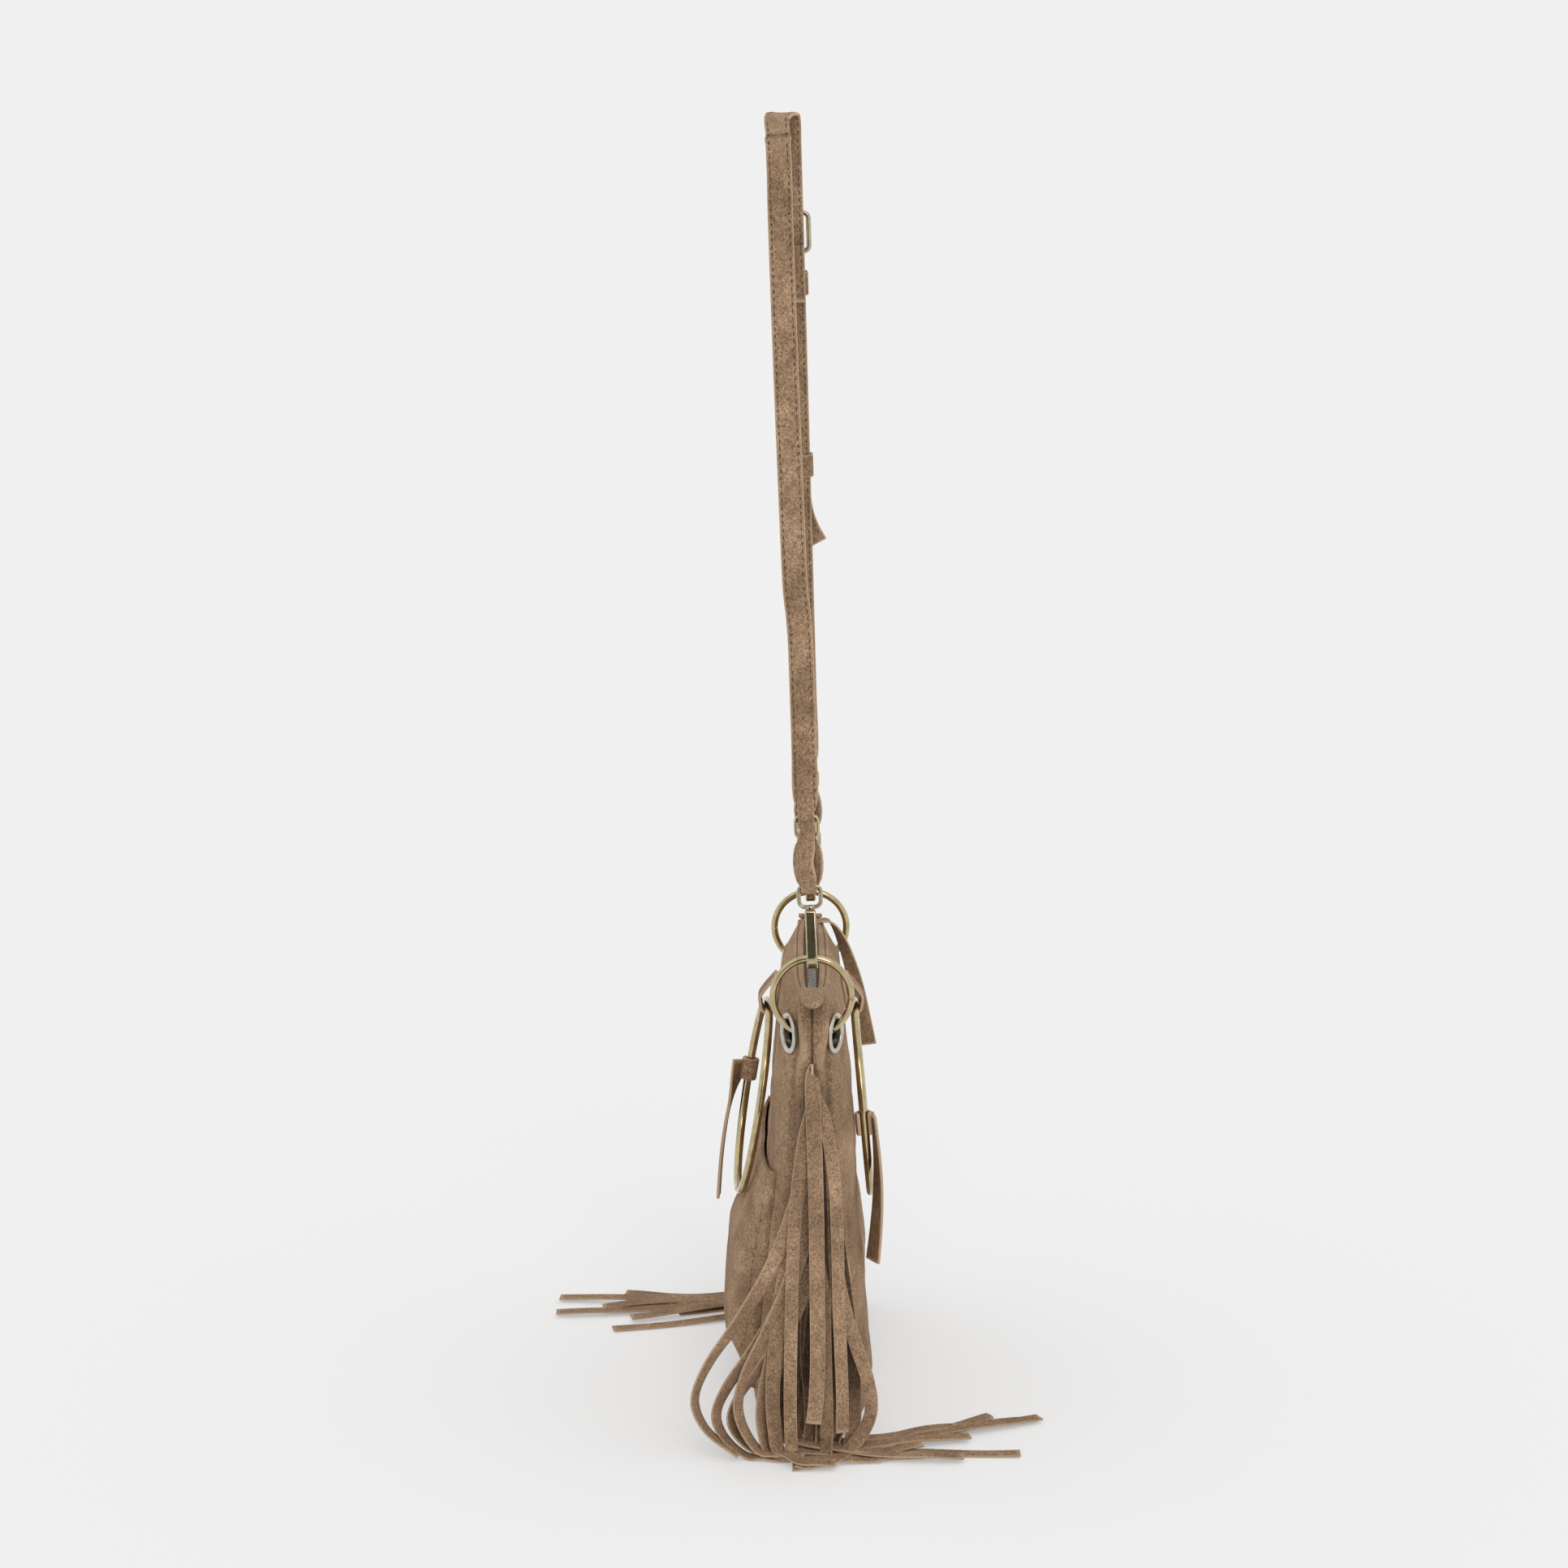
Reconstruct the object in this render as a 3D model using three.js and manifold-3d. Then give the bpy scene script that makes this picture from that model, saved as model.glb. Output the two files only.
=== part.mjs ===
// Fringed suede shoulder bag: suede shell, top zip, hooked shoulder strap, face rings and end fringes.
// Millimetres, +Z up. X runs along the zip, -Y is the front, and the origin is under the base.
import * as THREE from "three";
import { mergeVertices } from "three/addons/utils/BufferGeometryUtils.js";
import Module from "manifold-3d";

const wasm = await Module();
wasm.setup();

// Gaps and stock
const GAP = 0.3;
const SUEDE = 2.0;
const STRAP_THICKNESS = 2.2;
const STRAP_WIDTH = 15;

// Bag shell: half length and half depth at chosen heights
const BAG_HEIGHT = 275;
const TOP_LENGTH = 212;
const BASE_LENGTH = 222;
const TOP_DEPTH = 20;
const SHOULDER_DEPTH = 40;
const SHOULDER_DROP = 24;
const BASE_DEPTH = 74;
const BASE_ROUND = 24;
const FOOT_DEPTH = 58;
const END_POWER_TOP = 3.9;
const END_POWER_BASE = 6;
const END_ROUND_TOP = 0.6;
const END_ROUND_BASE = 0.5;
const BASE_BOARD = 6;
const PANEL_COLUMNS = 16;
const PANEL_ROWS = 9;
const PANEL_STOPS = [0.25, 0.44, 0.62, 0.78];

// Front pocket
const POCKET_TOP = 160;
const POCKET_FOOT = BASE_ROUND;
const POCKET_WIDTH = 168;
const POCKET_MOUTH = 6;
const POCKET_SLOPE = 0.42;
const POCKET_SAG = 2.8;
const POCKET_TOE = 6;
const POCKET_BULGE = 16;
const POCKET_SEAT = 1.2;
const POCKET_COLUMNS = 12;
const POCKET_ROWS = 7;

// Zip
const ZIP_DROP = 4;
const ZIP_LENGTH = 188;
const ZIP_TAPE = 1;
const TOOTH_PITCH = 4.8;
const TOOTH_LENGTH = 1.8;
const TOOTH_REACH = 2.6;
const TOOTH_HEIGHT = 2.2;
const TOOTH_CORD = 1.2;
const SLIDER_LENGTH = 9;
const SLIDER_WIDTH = 8;
const SLIDER_PLATE = 1.2;
const SLIDER_POST = 1.6;
const SLIDER_BRIDGE = 3.4;
const SLIDER_X = -82;
const PULL_WIDTH = 9;
const PULL_THICKNESS = 1.4;
const PULL_RISE = 1.8;
const PULL_OVER = 13;
const PULL_DEPTH = 38;
const PULL_LEAN = 0.62;
const PULL_DROP = 80;
const END_TAB_LENGTH = 15;
const END_TAB_WIDTH = 15;
const END_TAB_OVERHANG = 4;

// Eyelets and end rings
const RING_X = 90;
const RING_DROP = 4.5;
const RING_OUTER = 50.5;
const RING_WIRE = 4.3;
const RING_SIDES = 8;
const LINK_SIDES = 6;
const GATE_FROM = -57;
const GATE_TO = -3;
const GATE_GAP = 0.9;
const RING_STEPS = 36;
const EYELET_PLAY = 12.7;
const EYELET_RIM = 3.5;
const EYELET_BARREL = 0.9;
const EYELET_PLATE = 0.8;
const EYELET_DROP = 27;
const EYELET_SIDES = 16;
const EYELET_SPOT = 6;

// Face rings
const FACE_RING_OUTER = 124;
const FACE_RING_WIRE = 5;
const FACE_RING_DROP = 32;
const FACE_RING_STEPS = 36;
const FACE_RING_FRONT_LEAN = 9.2;
const FACE_RING_BACK_LEAN = 5.2;
const FACE_RING_FRONT_YAW = 3;
const FACE_RING_BACK_YAW = 0;
const FACE_RING_FRONT_Y = -26.5;
const FACE_RING_BACK_Y = 26.5;
const LOOP_WIDTH = 16;
const LOOP_RISE = 19;
const LOOP_CLEARANCE = 1.2;
const TAIL_WIDTH = 14;
const TAIL_LENGTH = 92;
const TAIL_CLEARANCE = 0.9;
const TAIL_BOW = 3;
const TAIL_WRAP = 1.5;
const FOLD_STEPS = 6;
const LOOP_STEPS = 8;

// Strap line, hooks and buckle
const STRAP_RISE = 508;
const STRAP_LEAN = 21;
const STRAP_SKEW = 6.5;
const APEX_RADIUS = 9;
const HOOK_PLAY = 1.85;
const HOOK_SEAT = 0.95;
const HOOK_GATE_GAP = 0.7;
const HOOK_BAR = 3;
const HOOK_WIDTH = 6.5;
const HOOK_HEIGHT = 28;
const HOOK_THROAT = 9;
const SWIVEL_DIAMETER = 5;
const SWIVEL_SIDES = 12;
const EYE_WIDTH = 15.5;
const EYE_WIRE = 2.6;
const EYE_HEIGHT = 15;
const LINK_LOOP_HEIGHT = 30;
const NECK_WIDTH = 9;
const STRAP_RING_WIDTH = 15.2;
const STRAP_RING_HEIGHT = 15;
const STRAP_RING_WIRE = 2.4;
const FOLD_BACK = 30;
const FOLD_TAPER = 12;
const BUCKLE_DROP = 58;
const BUCKLE_WIRE = 3;
const BUCKLE_LENGTH = 23;
const KEEPER_LENGTH = 14;
const KEEPER_WALL = 1.5;
const KEEPER_FIXED_DROP = 94;
const KEEPER_SLIDING_DROP = 207;
const TAIL_END_DROP = 268;
const TAIL_FREE = 34;
const TAIL_CURL = 5;
const PRONG_WIRE = 2.2;
const PRONG_SIDES = 6;
const PRONG_SLOT_LOW = 5.6;
const PRONG_SLOT_HIGH = 13.9;
const BUCKLE_EASE = 2;

// Fringe
const FRINGE_DROP = 41;
const FRINGE_FOOT = 26;
const FRINGE_WELT = 5;
const FRINGE_STRIPS = 9;
const FRINGE_LANES = 3;
const FRINGE_LAYER = 2.6;
const FRINGE_HEADING = 112;
const FRINGE_FAN = 10;
const FRINGE_LENGTH = 214;
const FRINGE_NEAR_SPREAD = 0.65;
const FRINGE_FAR_SPREAD = 0.9;
const FRINGE_WIDTH = 8.5;
const FRINGE_THICKNESS = 1.5;
const FRINGE_PART = 1;
const FRINGE_HANG = [0.14, 0.5, 1];
const FRINGE_LIE_STEP = 60;
const WELT_STEPS = 6;

// Places that follow from the sizes above
const RING_Z = BAG_HEIGHT - RING_DROP;
const EYELET_HOLE = RING_WIRE + EYELET_PLAY;
const EYELET_FLANGE = EYELET_HOLE + 2 * EYELET_RIM;
const EYELET_Z = BAG_HEIGHT - EYELET_DROP;
const FACE_RING_TOP = BAG_HEIGHT - FACE_RING_DROP;
const HOOK_BOW = RING_WIRE / 2 + HOOK_PLAY;
const APEX = new THREE.Vector3(0, -STRAP_LEAN, BAG_HEIGHT + STRAP_RISE);
const FRINGE_TOP = BAG_HEIGHT - FRINGE_DROP;

// Colours and finishes
const SUEDE_COLOUR = 0x977c63;
const BRASS_COLOUR = 0x9a8a5a;
const NICKEL_COLOUR = 0xb9ac8c;
const STEEL_COLOUR = 0xc9c7c0;
const TAPE_COLOUR = 0x6d5947;

const bag = new THREE.Group();
const X_AXIS = new THREE.Vector3(1, 0, 0);
const Y_AXIS = new THREE.Vector3(0, 1, 0);
const Z_AXIS = new THREE.Vector3(0, 0, 1);
const v = (x, y, z) => new THREE.Vector3(x, y, z);
const lerp = THREE.MathUtils.lerp;
const rad = THREE.MathUtils.degToRad;

function suede() {
  return new THREE.MeshStandardMaterial({ color: SUEDE_COLOUR, roughness: 0.95, metalness: 0 });
}

function tapeCloth() {
  return new THREE.MeshStandardMaterial({ color: TAPE_COLOUR, roughness: 0.9, metalness: 0 });
}

function metal(colour) {
  return new THREE.MeshStandardMaterial({ color: colour, roughness: 0.35, metalness: 1 });
}

function add(parent, name, geometry, material) {
  const mesh = new THREE.Mesh(geometry, material);
  mesh.name = name;
  parent.add(mesh);
  return mesh;
}

// Booleans on closed meshes
function solid(geometry) {
  const bare = geometry.index ? geometry.toNonIndexed() : geometry.clone();
  bare.deleteAttribute("normal");
  bare.deleteAttribute("uv");
  const merged = mergeVertices(bare, 1e-4);
  const vertProperties = new Float32Array(merged.attributes.position.array);
  const triVerts = new Uint32Array(merged.index.array);
  return new wasm.Manifold(new wasm.Mesh({ numProp: 3, vertProperties, triVerts }));
}

function geometryOf(manifold) {
  const mesh = manifold.getMesh();
  const geometry = new THREE.BufferGeometry();
  geometry.setAttribute("position", new THREE.BufferAttribute(mesh.vertProperties, 3));
  geometry.setIndex(new THREE.BufferAttribute(mesh.triVerts, 1));
  return geometry;
}

function joined(geometries) {
  return geometryOf(geometries.map(solid).reduce((whole, next) => whole.add(next)));
}

// A closed solid through equal rings of points, capped at both ends or joined end to start
function loft(rings, closed = false) {
  const sides = rings[0].length;
  const points = rings.flat();
  const faces = [];
  const spans = closed ? rings.length : rings.length - 1;
  for (let i = 0; i < spans; i += 1) {
    const here = i * sides;
    const next = ((i + 1) % rings.length) * sides;
    for (let k = 0; k < sides; k += 1) {
      const after = (k + 1) % sides;
      faces.push(here + k, here + after, next + k);
      faces.push(here + after, next + after, next + k);
    }
  }
  if (!closed) {
    const last = (rings.length - 1) * sides;
    for (let k = 1; k < sides - 1; k += 1) {
      faces.push(0, k + 1, k);
      faces.push(last, last + k, last + k + 1);
    }
  }
  return facingOut(points, faces);
}

function facingOut(points, faces) {
  let volume = 0;
  for (let i = 0; i < faces.length; i += 3) {
    const [a, b, c] = [points[faces[i]], points[faces[i + 1]], points[faces[i + 2]]];
    volume += a.dot(v().crossVectors(b, c));
  }
  const order = volume < 0 ? faces.reverse() : faces;
  const geometry = new THREE.BufferGeometry().setFromPoints(points);
  geometry.setIndex(order);
  return geometry;
}

// A flat band along points; each station has a width and a direction across the band
function band(path, thickness, closed = false) {
  const rings = path.map((station, i) => {
    const count = path.length;
    const before = closed ? path[(i + count - 1) % count] : path[Math.max(i - 1, 0)];
    const after = closed ? path[(i + 1) % count] : path[Math.min(i + 1, count - 1)];
    const along = v().subVectors(after.point, before.point).normalize();
    const across = station.across.clone().addScaledVector(along, -station.across.dot(along)).normalize();
    const normal = v().crossVectors(along, across);
    const half = station.width / 2;
    return [[-1, -1], [1, -1], [1, 1], [-1, 1]].map(([side, face]) => station.point.clone()
      .addScaledVector(across, side * half)
      .addScaledVector(normal, face * thickness / 2));
  });
  return loft(rings, closed);
}

// A round wire along points that lie in one plane
function wire(points, normal, diameter, sides, closed) {
  const rings = points.map((point, i) => {
    const count = points.length;
    const before = closed ? points[(i + count - 1) % count] : points[Math.max(i - 1, 0)];
    const after = closed ? points[(i + 1) % count] : points[Math.min(i + 1, count - 1)];
    const along = v().subVectors(after, before).normalize();
    const out = v().crossVectors(along, normal);
    return Array.from({ length: sides }, (_, k) => {
      const turn = (k + 0.5) * 2 * Math.PI / sides;
      return point.clone()
        .addScaledVector(out, Math.cos(turn) * diameter / 2)
        .addScaledVector(normal, Math.sin(turn) * diameter / 2);
    });
  });
  return loft(rings, closed);
}

// A closed shell between two grids of points
function gridShell(columns, rows, outer, inner) {
  const points = [];
  const across = columns + 1;
  const layer = across * (rows + 1);
  for (const surface of [outer, inner]) {
    for (let j = 0; j <= rows; j += 1) {
      for (let i = 0; i <= columns; i += 1) points.push(surface(i / columns, j / rows));
    }
  }
  const faces = [];
  const quad = (a, b, c, d) => faces.push(a, b, c, a, c, d);
  const at = (i, j) => j * across + i;
  for (let j = 0; j < rows; j += 1) {
    for (let i = 0; i < columns; i += 1) {
      quad(at(i, j), at(i + 1, j), at(i + 1, j + 1), at(i, j + 1));
      quad(layer + at(i, j), layer + at(i, j + 1), layer + at(i + 1, j + 1), layer + at(i + 1, j));
    }
  }
  for (let i = 0; i < columns; i += 1) {
    quad(at(i, 0), layer + at(i, 0), layer + at(i + 1, 0), at(i + 1, 0));
    quad(at(i, rows), at(i + 1, rows), layer + at(i + 1, rows), layer + at(i, rows));
  }
  for (let j = 0; j < rows; j += 1) {
    quad(at(0, j), at(0, j + 1), layer + at(0, j + 1), layer + at(0, j));
    quad(at(columns, j), layer + at(columns, j), layer + at(columns, j + 1), at(columns, j + 1));
  }
  return facingOut(points, faces);
}

function box(width, depth, height, x, y, z) {
  return new THREE.BoxGeometry(width, depth, height).translate(x, y, z);
}

function rod(diameter, length, sides) {
  return new THREE.CylinderGeometry(diameter / 2, diameter / 2, length, sides);
}

// Shell form: half length and half depth of the bag at a height
const DEPTH_STATIONS = [
  [0, FOOT_DEPTH / 2],
  [BASE_ROUND / 3, lerp(FOOT_DEPTH, BASE_DEPTH, 0.7) / 2],
  [BASE_ROUND, BASE_DEPTH / 2],
  [BAG_HEIGHT - SHOULDER_DROP, SHOULDER_DEPTH / 2],
  [BAG_HEIGHT - SHOULDER_DROP / 2, lerp(TOP_DEPTH, SHOULDER_DEPTH, 0.75) / 2],
  [BAG_HEIGHT, TOP_DEPTH / 2],
];

function halfDepth(z) {
  const next = DEPTH_STATIONS.findIndex(([height]) => height >= z);
  if (next <= 0) return DEPTH_STATIONS.at(next)[1];
  const [lowZ, low] = DEPTH_STATIONS[next - 1];
  const [highZ, high] = DEPTH_STATIONS[next];
  return lerp(low, high, (z - lowZ) / (highZ - lowZ));
}

function halfLength(z) {
  const foot = Math.min(z / BASE_ROUND, 1);
  const tuck = (BASE_DEPTH - FOOT_DEPTH) / 2 * (1 - foot) ** 2;
  return lerp(BASE_LENGTH, TOP_LENGTH, z / BAG_HEIGHT) / 2 - tuck;
}

function sideAt(x, z, inset = 0) {
  const share = z / BAG_HEIGHT;
  const power = lerp(END_POWER_BASE, END_POWER_TOP, share);
  const round = lerp(END_ROUND_BASE, END_ROUND_TOP, share);
  const reach = Math.min(Math.abs(x) / (halfLength(z) - inset), 1);
  return (halfDepth(z) - inset) * (1 - reach ** power) ** round;
}

function shellPoint(facing, inset) {
  return (across, up) => {
    const bottom = BASE_BOARD + GAP;
    const z = bottom + (BAG_HEIGHT - bottom) * panelHeights(up);
    const x = (halfLength(z) - inset) * Math.sin((across - 0.5) * Math.PI);
    const y = Math.max(sideAt(x, z, inset), 0) + GAP / 2;
    return v(x, facing * y, z);
  };
}

// Rows gather where the shell turns: near the base and at the shoulders
function panelHeights(up) {
  const bottom = BASE_BOARD + GAP;
  const sides = PANEL_STOPS.map((share) => share * BAG_HEIGHT);
  const shoulder = [1, 1 / 2, 1 / 5, 0].map((share) => BAG_HEIGHT - SHOULDER_DROP * share);
  const stops = [bottom, BASE_ROUND, ...sides, ...shoulder];
  const place = up * (stops.length - 1);
  const low = Math.min(Math.floor(place), stops.length - 2);
  return (lerp(stops[low], stops[low + 1], place - low) - bottom) / (BAG_HEIGHT - bottom);
}

// Eyelets stand square to the panel where the end ring passes
function eyeletFrame(facing, end) {
  const step = 1;
  const y = sideAt(RING_X, EYELET_Z) + GAP / 2;
  const slope = (sideAt(RING_X + step, EYELET_Z) - sideAt(RING_X - step, EYELET_Z)) / (2 * step);
  const normal = v(-slope * end, facing, 0).normalize();
  return { centre: v(end * RING_X, facing * y, EYELET_Z), normal };
}

function placeOnEyelet(geometry, { centre, normal }) {
  const turn = new THREE.Quaternion().setFromUnitVectors(Y_AXIS, normal);
  return geometry.applyQuaternion(turn).translate(centre.x, centre.y, centre.z);
}

function eyelet(frame) {
  const inner = EYELET_HOLE / 2;
  const barrel = inner + EYELET_BARREL;
  const flange = EYELET_FLANGE / 2;
  const face = GAP;
  const back = -SUEDE - 2 * GAP;
  const profile = [
    [inner, back - EYELET_PLATE], [flange, back - EYELET_PLATE], [flange, back],
    [barrel, back], [barrel, face], [flange, face], [(flange + inner) / 2, face + 2 * EYELET_PLATE],
    [inner, face], [inner, back - EYELET_PLATE],
  ].map(([r, h]) => new THREE.Vector2(r, h));
  return placeOnEyelet(new THREE.LatheGeometry(profile, EYELET_SIDES), frame);
}

function eyeletCuts(frame) {
  const clearance = 2 * GAP;
  const reach = EYELET_SPOT;
  const bore = rod(EYELET_HOLE + 2 * (EYELET_BARREL + clearance), 4 * reach, EYELET_SIDES);
  const spot = EYELET_FLANGE + 2 * clearance;
  const outside = rod(spot, reach, EYELET_SIDES).translate(0, reach / 2, 0);
  const inside = rod(spot, reach, EYELET_SIDES).translate(0, -SUEDE - GAP - reach / 2, 0);
  return [bore, outside, inside].map((cut) => solid(placeOnEyelet(cut, frame)));
}

function buildPanels() {
  for (const [name, facing] of [["front", -1], ["back", 1]]) {
    const shell = gridShell(PANEL_COLUMNS, PANEL_ROWS, shellPoint(facing, 0), shellPoint(facing, SUEDE));
    let panel = solid(shell);
    for (const [place, end] of [["near", 1], ["far", -1]]) {
      const frame = eyeletFrame(facing, end);
      for (const cut of eyeletCuts(frame)) panel = panel.subtract(cut);
      add(bag, `eyelet_${name}_${place}`, eyelet(frame), metal(STEEL_COLOUR));
    }
    add(bag, `${name}_panel`, geometryOf(panel), suede());
  }
}

function outlineAt(z, inset) {
  const count = 2 * PANEL_COLUMNS;
  return Array.from({ length: count }, (_, k) => {
    const turn = (k + 0.5) * 2 * Math.PI / count;
    const x = (halfLength(z) - inset) * Math.cos(turn);
    return v(x, Math.sign(Math.sin(turn)) * sideAt(x, z, inset), z);
  });
}

function buildBase() {
  const levels = [0, BASE_BOARD / 2, BASE_BOARD];
  add(bag, "base_panel", loft(levels.map((z) => outlineAt(z, 0))), suede());
}

function pocketBulge(across, up) {
  const side = 1 - (2 * across - 1) ** 4;
  const belly = Math.min((1 - up) / POCKET_SLOPE, 1) ** POCKET_SAG;
  return side * lerp(POCKET_MOUTH, POCKET_BULGE, belly);
}

function pocketPoint(offset) {
  return (across, up) => {
    const z = lerp(POCKET_FOOT, POCKET_TOP, up);
    const x = (across - 0.5) * POCKET_WIDTH;
    const foot = Math.min(up * POCKET_TOE, 1);
    const y = sideAt(x, z) + POCKET_SEAT + offset + pocketBulge(across, up) * foot;
    return v(x, -y, z);
  };
}

function buildPocket() {
  const outer = pocketPoint(SUEDE);
  add(bag, "front_pocket", gridShell(POCKET_COLUMNS, POCKET_ROWS, outer, pocketPoint(0)), suede());
}

// Zip: tapes fill the mouth, with a row of teeth on each
const ZIP_Z = BAG_HEIGHT - ZIP_DROP;

function buildZip() {
  const inset = SUEDE + 2 * GAP;
  const mouth = solid(loft([ZIP_Z - ZIP_TAPE / 2, ZIP_Z + ZIP_TAPE / 2].map((z) => outlineAt(z, inset))));
  const tapeInner = TOOTH_REACH / 2 + TOOTH_CORD + 2 * GAP;
  for (const [name, facing] of [["front", -1], ["back", 1]]) {
    const half = box(ZIP_LENGTH, BASE_DEPTH, 4 * ZIP_TAPE, 0, facing * (BASE_DEPTH / 2 + tapeInner), ZIP_Z);
    add(bag, `zip_tape_${name}`, geometryOf(mouth.intersect(solid(half))), tapeCloth());
    add(bag, `zip_teeth_${name}`, zipTeeth(facing), metal(STEEL_COLOUR));
  }
}

// One row of teeth and its cord, as a comb outline
function zipTeeth(facing) {
  const count = Math.floor((ZIP_LENGTH - 4 * TOOTH_PITCH) / TOOTH_PITCH);
  const start = -(count - 1) * TOOTH_PITCH / 2 + facing * TOOTH_PITCH / 4;
  const end = ZIP_LENGTH / 2 - TOOTH_PITCH;
  const root = TOOTH_REACH / 2 + GAP;
  const comb = [[end, root], [end, root + TOOTH_CORD], [-end, root + TOOTH_CORD], [-end, root]];
  for (let i = 0; i < count; i += 1) {
    const x = start + i * TOOTH_PITCH;
    const tip = root - TOOTH_REACH;
    comb.push([x - TOOTH_LENGTH / 2, root], [x - TOOTH_LENGTH / 2, tip], [x + TOOTH_LENGTH / 2, tip],
      [x + TOOTH_LENGTH / 2, root]);
  }
  const shape = new THREE.Shape(comb.map(([x, y]) => new THREE.Vector2(x, facing * y)));
  const row = new THREE.ExtrudeGeometry(shape, { depth: TOOTH_HEIGHT, bevelEnabled: false });
  return row.translate(0, 0, ZIP_Z - TOOTH_HEIGHT / 2);
}

function buildSlider() {
  const lift = TOOTH_HEIGHT / 2 + GAP + SLIDER_PLATE / 2;
  const top = box(SLIDER_LENGTH, SLIDER_WIDTH, SLIDER_PLATE, SLIDER_X, 0, ZIP_Z + lift);
  const bridgeZ = ZIP_Z + lift + SLIDER_PLATE / 2;
  const span = 2 * SLIDER_LENGTH / 3;
  const broad = 2 * SLIDER_POST;
  const legZ = bridgeZ + SLIDER_BRIDGE / 2;
  const leg = (x) => box(SLIDER_POST, broad, SLIDER_BRIDGE, SLIDER_X + x, 0, legZ);
  const legs = [leg(-span / 2), leg(span / 2)];
  const beam = box(span + SLIDER_POST, broad, SLIDER_POST, SLIDER_X, 0, bridgeZ + SLIDER_BRIDGE);
  add(bag, "zip_slider", joined([top, ...legs, beam]), metal(STEEL_COLOUR));
  buildPull(legZ);
}

// The pull is a suede strip, threaded under the slider's bridge and draped over the back
function buildPull(bridgeZ) {
  const fall = [0.1, 0.3, 0.53, 0.76, 1].map((share) => [
    lerp(PULL_OVER, PULL_DEPTH, share ** PULL_LEAN),
    -PULL_DROP * share,
  ]);
  const drape = [[-SLIDER_POST, 0], [2 * SLIDER_POST, 0], [PULL_OVER - 3 * PULL_RISE, PULL_RISE],
    [PULL_OVER, PULL_RISE / 3], ...fall];
  const narrow = 2 * SLIDER_LENGTH / 3 - 3 * GAP - SLIDER_POST;
  const path = drape.map(([y, drop], i) => ({
    point: v(SLIDER_X, y, bridgeZ - GAP + drop),
    width: i < 2 ? narrow : PULL_WIDTH,
    across: X_AXIS,
  }));
  add(bag, "zip_pull_strip", band(path, PULL_THICKNESS), suede());
}

function buildEndTabs() {
  for (const [place, end] of [["near", 1], ["far", -1]]) {
    const outline = new THREE.Shape();
    const half = END_TAB_WIDTH / 2;
    outline.moveTo(0, -half);
    outline.lineTo(END_TAB_LENGTH - half, -half);
    outline.absarc(END_TAB_LENGTH - half, 0, half, -Math.PI / 2, Math.PI / 2, false);
    outline.lineTo(0, half);
    const tab = new THREE.ExtrudeGeometry(outline, { depth: SUEDE, bevelEnabled: false, curveSegments: 6 });
    const mesh = add(bag, `zip_end_tab_${place}`, tab, suede());
    mesh.position.set(end * (TOP_LENGTH / 2 - END_TAB_LENGTH + END_TAB_OVERHANG), 0, BAG_HEIGHT + GAP);
    mesh.rotation.z = end < 0 ? Math.PI : 0;
  }
}

// End rings: a gate on one side springs inwards about its pin
const RING_MEAN = (RING_OUTER - RING_WIRE) / 2;

function ringPoint(radius, degrees) {
  return new THREE.Vector2(radius * Math.cos(rad(degrees)), radius * Math.sin(rad(degrees)));
}

// The sector the gate fills; its free end is cut along the path it swings on about its pin
function gateSector(slack) {
  const pin = ringPoint(RING_MEAN, GATE_FROM);
  const free = ringPoint(RING_MEAN, GATE_TO);
  const arm = free.clone().sub(pin).normalize();
  const swing = new THREE.Vector2(-arm.y, arm.x).multiplyScalar(RING_WIRE);
  const back = new THREE.Vector2(pin.y, -pin.x).setLength(slack);
  const stop = free.clone().addScaledVector(arm, slack);
  const radial = pin.clone().setLength(RING_WIRE);
  const outside = ringPoint(RING_OUTER, (GATE_FROM + GATE_TO) / 2);
  const hinge = pin.clone().add(back);
  const corners = [hinge.clone().add(radial), outside, stop.clone().sub(swing), stop.clone().add(swing),
    hinge.clone().sub(radial)];
  const flat = { depth: 2 * RING_WIRE, bevelEnabled: false };
  const sector = new THREE.ExtrudeGeometry(new THREE.Shape(corners), flat);
  const turn = new THREE.Matrix4().makeBasis(Y_AXIS, Z_AXIS, X_AXIS);
  return solid(sector.translate(0, 0, -RING_WIRE).applyMatrix4(turn));
}

function buildEndRings() {
  const circle = Array.from({ length: RING_STEPS }, (_, i) => {
    const { x, y } = ringPoint(RING_MEAN, GATE_TO + i * 360 / RING_STEPS);
    return v(0, x, y);
  });
  const whole = solid(wire(circle, X_AXIS, RING_WIRE, RING_SIDES, true));
  const body = whole.subtract(gateSector(GATE_GAP));
  const gate = whole.intersect(gateSector(0));
  for (const [place, end] of [["near", 1], ["far", -1]]) {
    const group = new THREE.Group();
    group.position.set(end * RING_X, 0, RING_Z);
    group.rotation.z = end > 0 ? 0 : Math.PI;
    add(group, `end_ring_${place}`, geometryOf(body), metal(BRASS_COLOUR));
    add(group, `end_ring_gate_${place}`, geometryOf(gate), metal(BRASS_COLOUR));
    bag.add(group);
  }
}

// Face rings hang from suede loops sewn under the shoulders; tails are tied round one side of each
const FACE_MEAN = (FACE_RING_OUTER - FACE_RING_WIRE) / 2;

function buildFaceRings() {
  buildFaceRing("front", -1, FACE_RING_FRONT_Y, FACE_RING_FRONT_LEAN, FACE_RING_FRONT_YAW);
  buildFaceRing("back", 1, FACE_RING_BACK_Y, FACE_RING_BACK_LEAN, FACE_RING_BACK_YAW);
}

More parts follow.
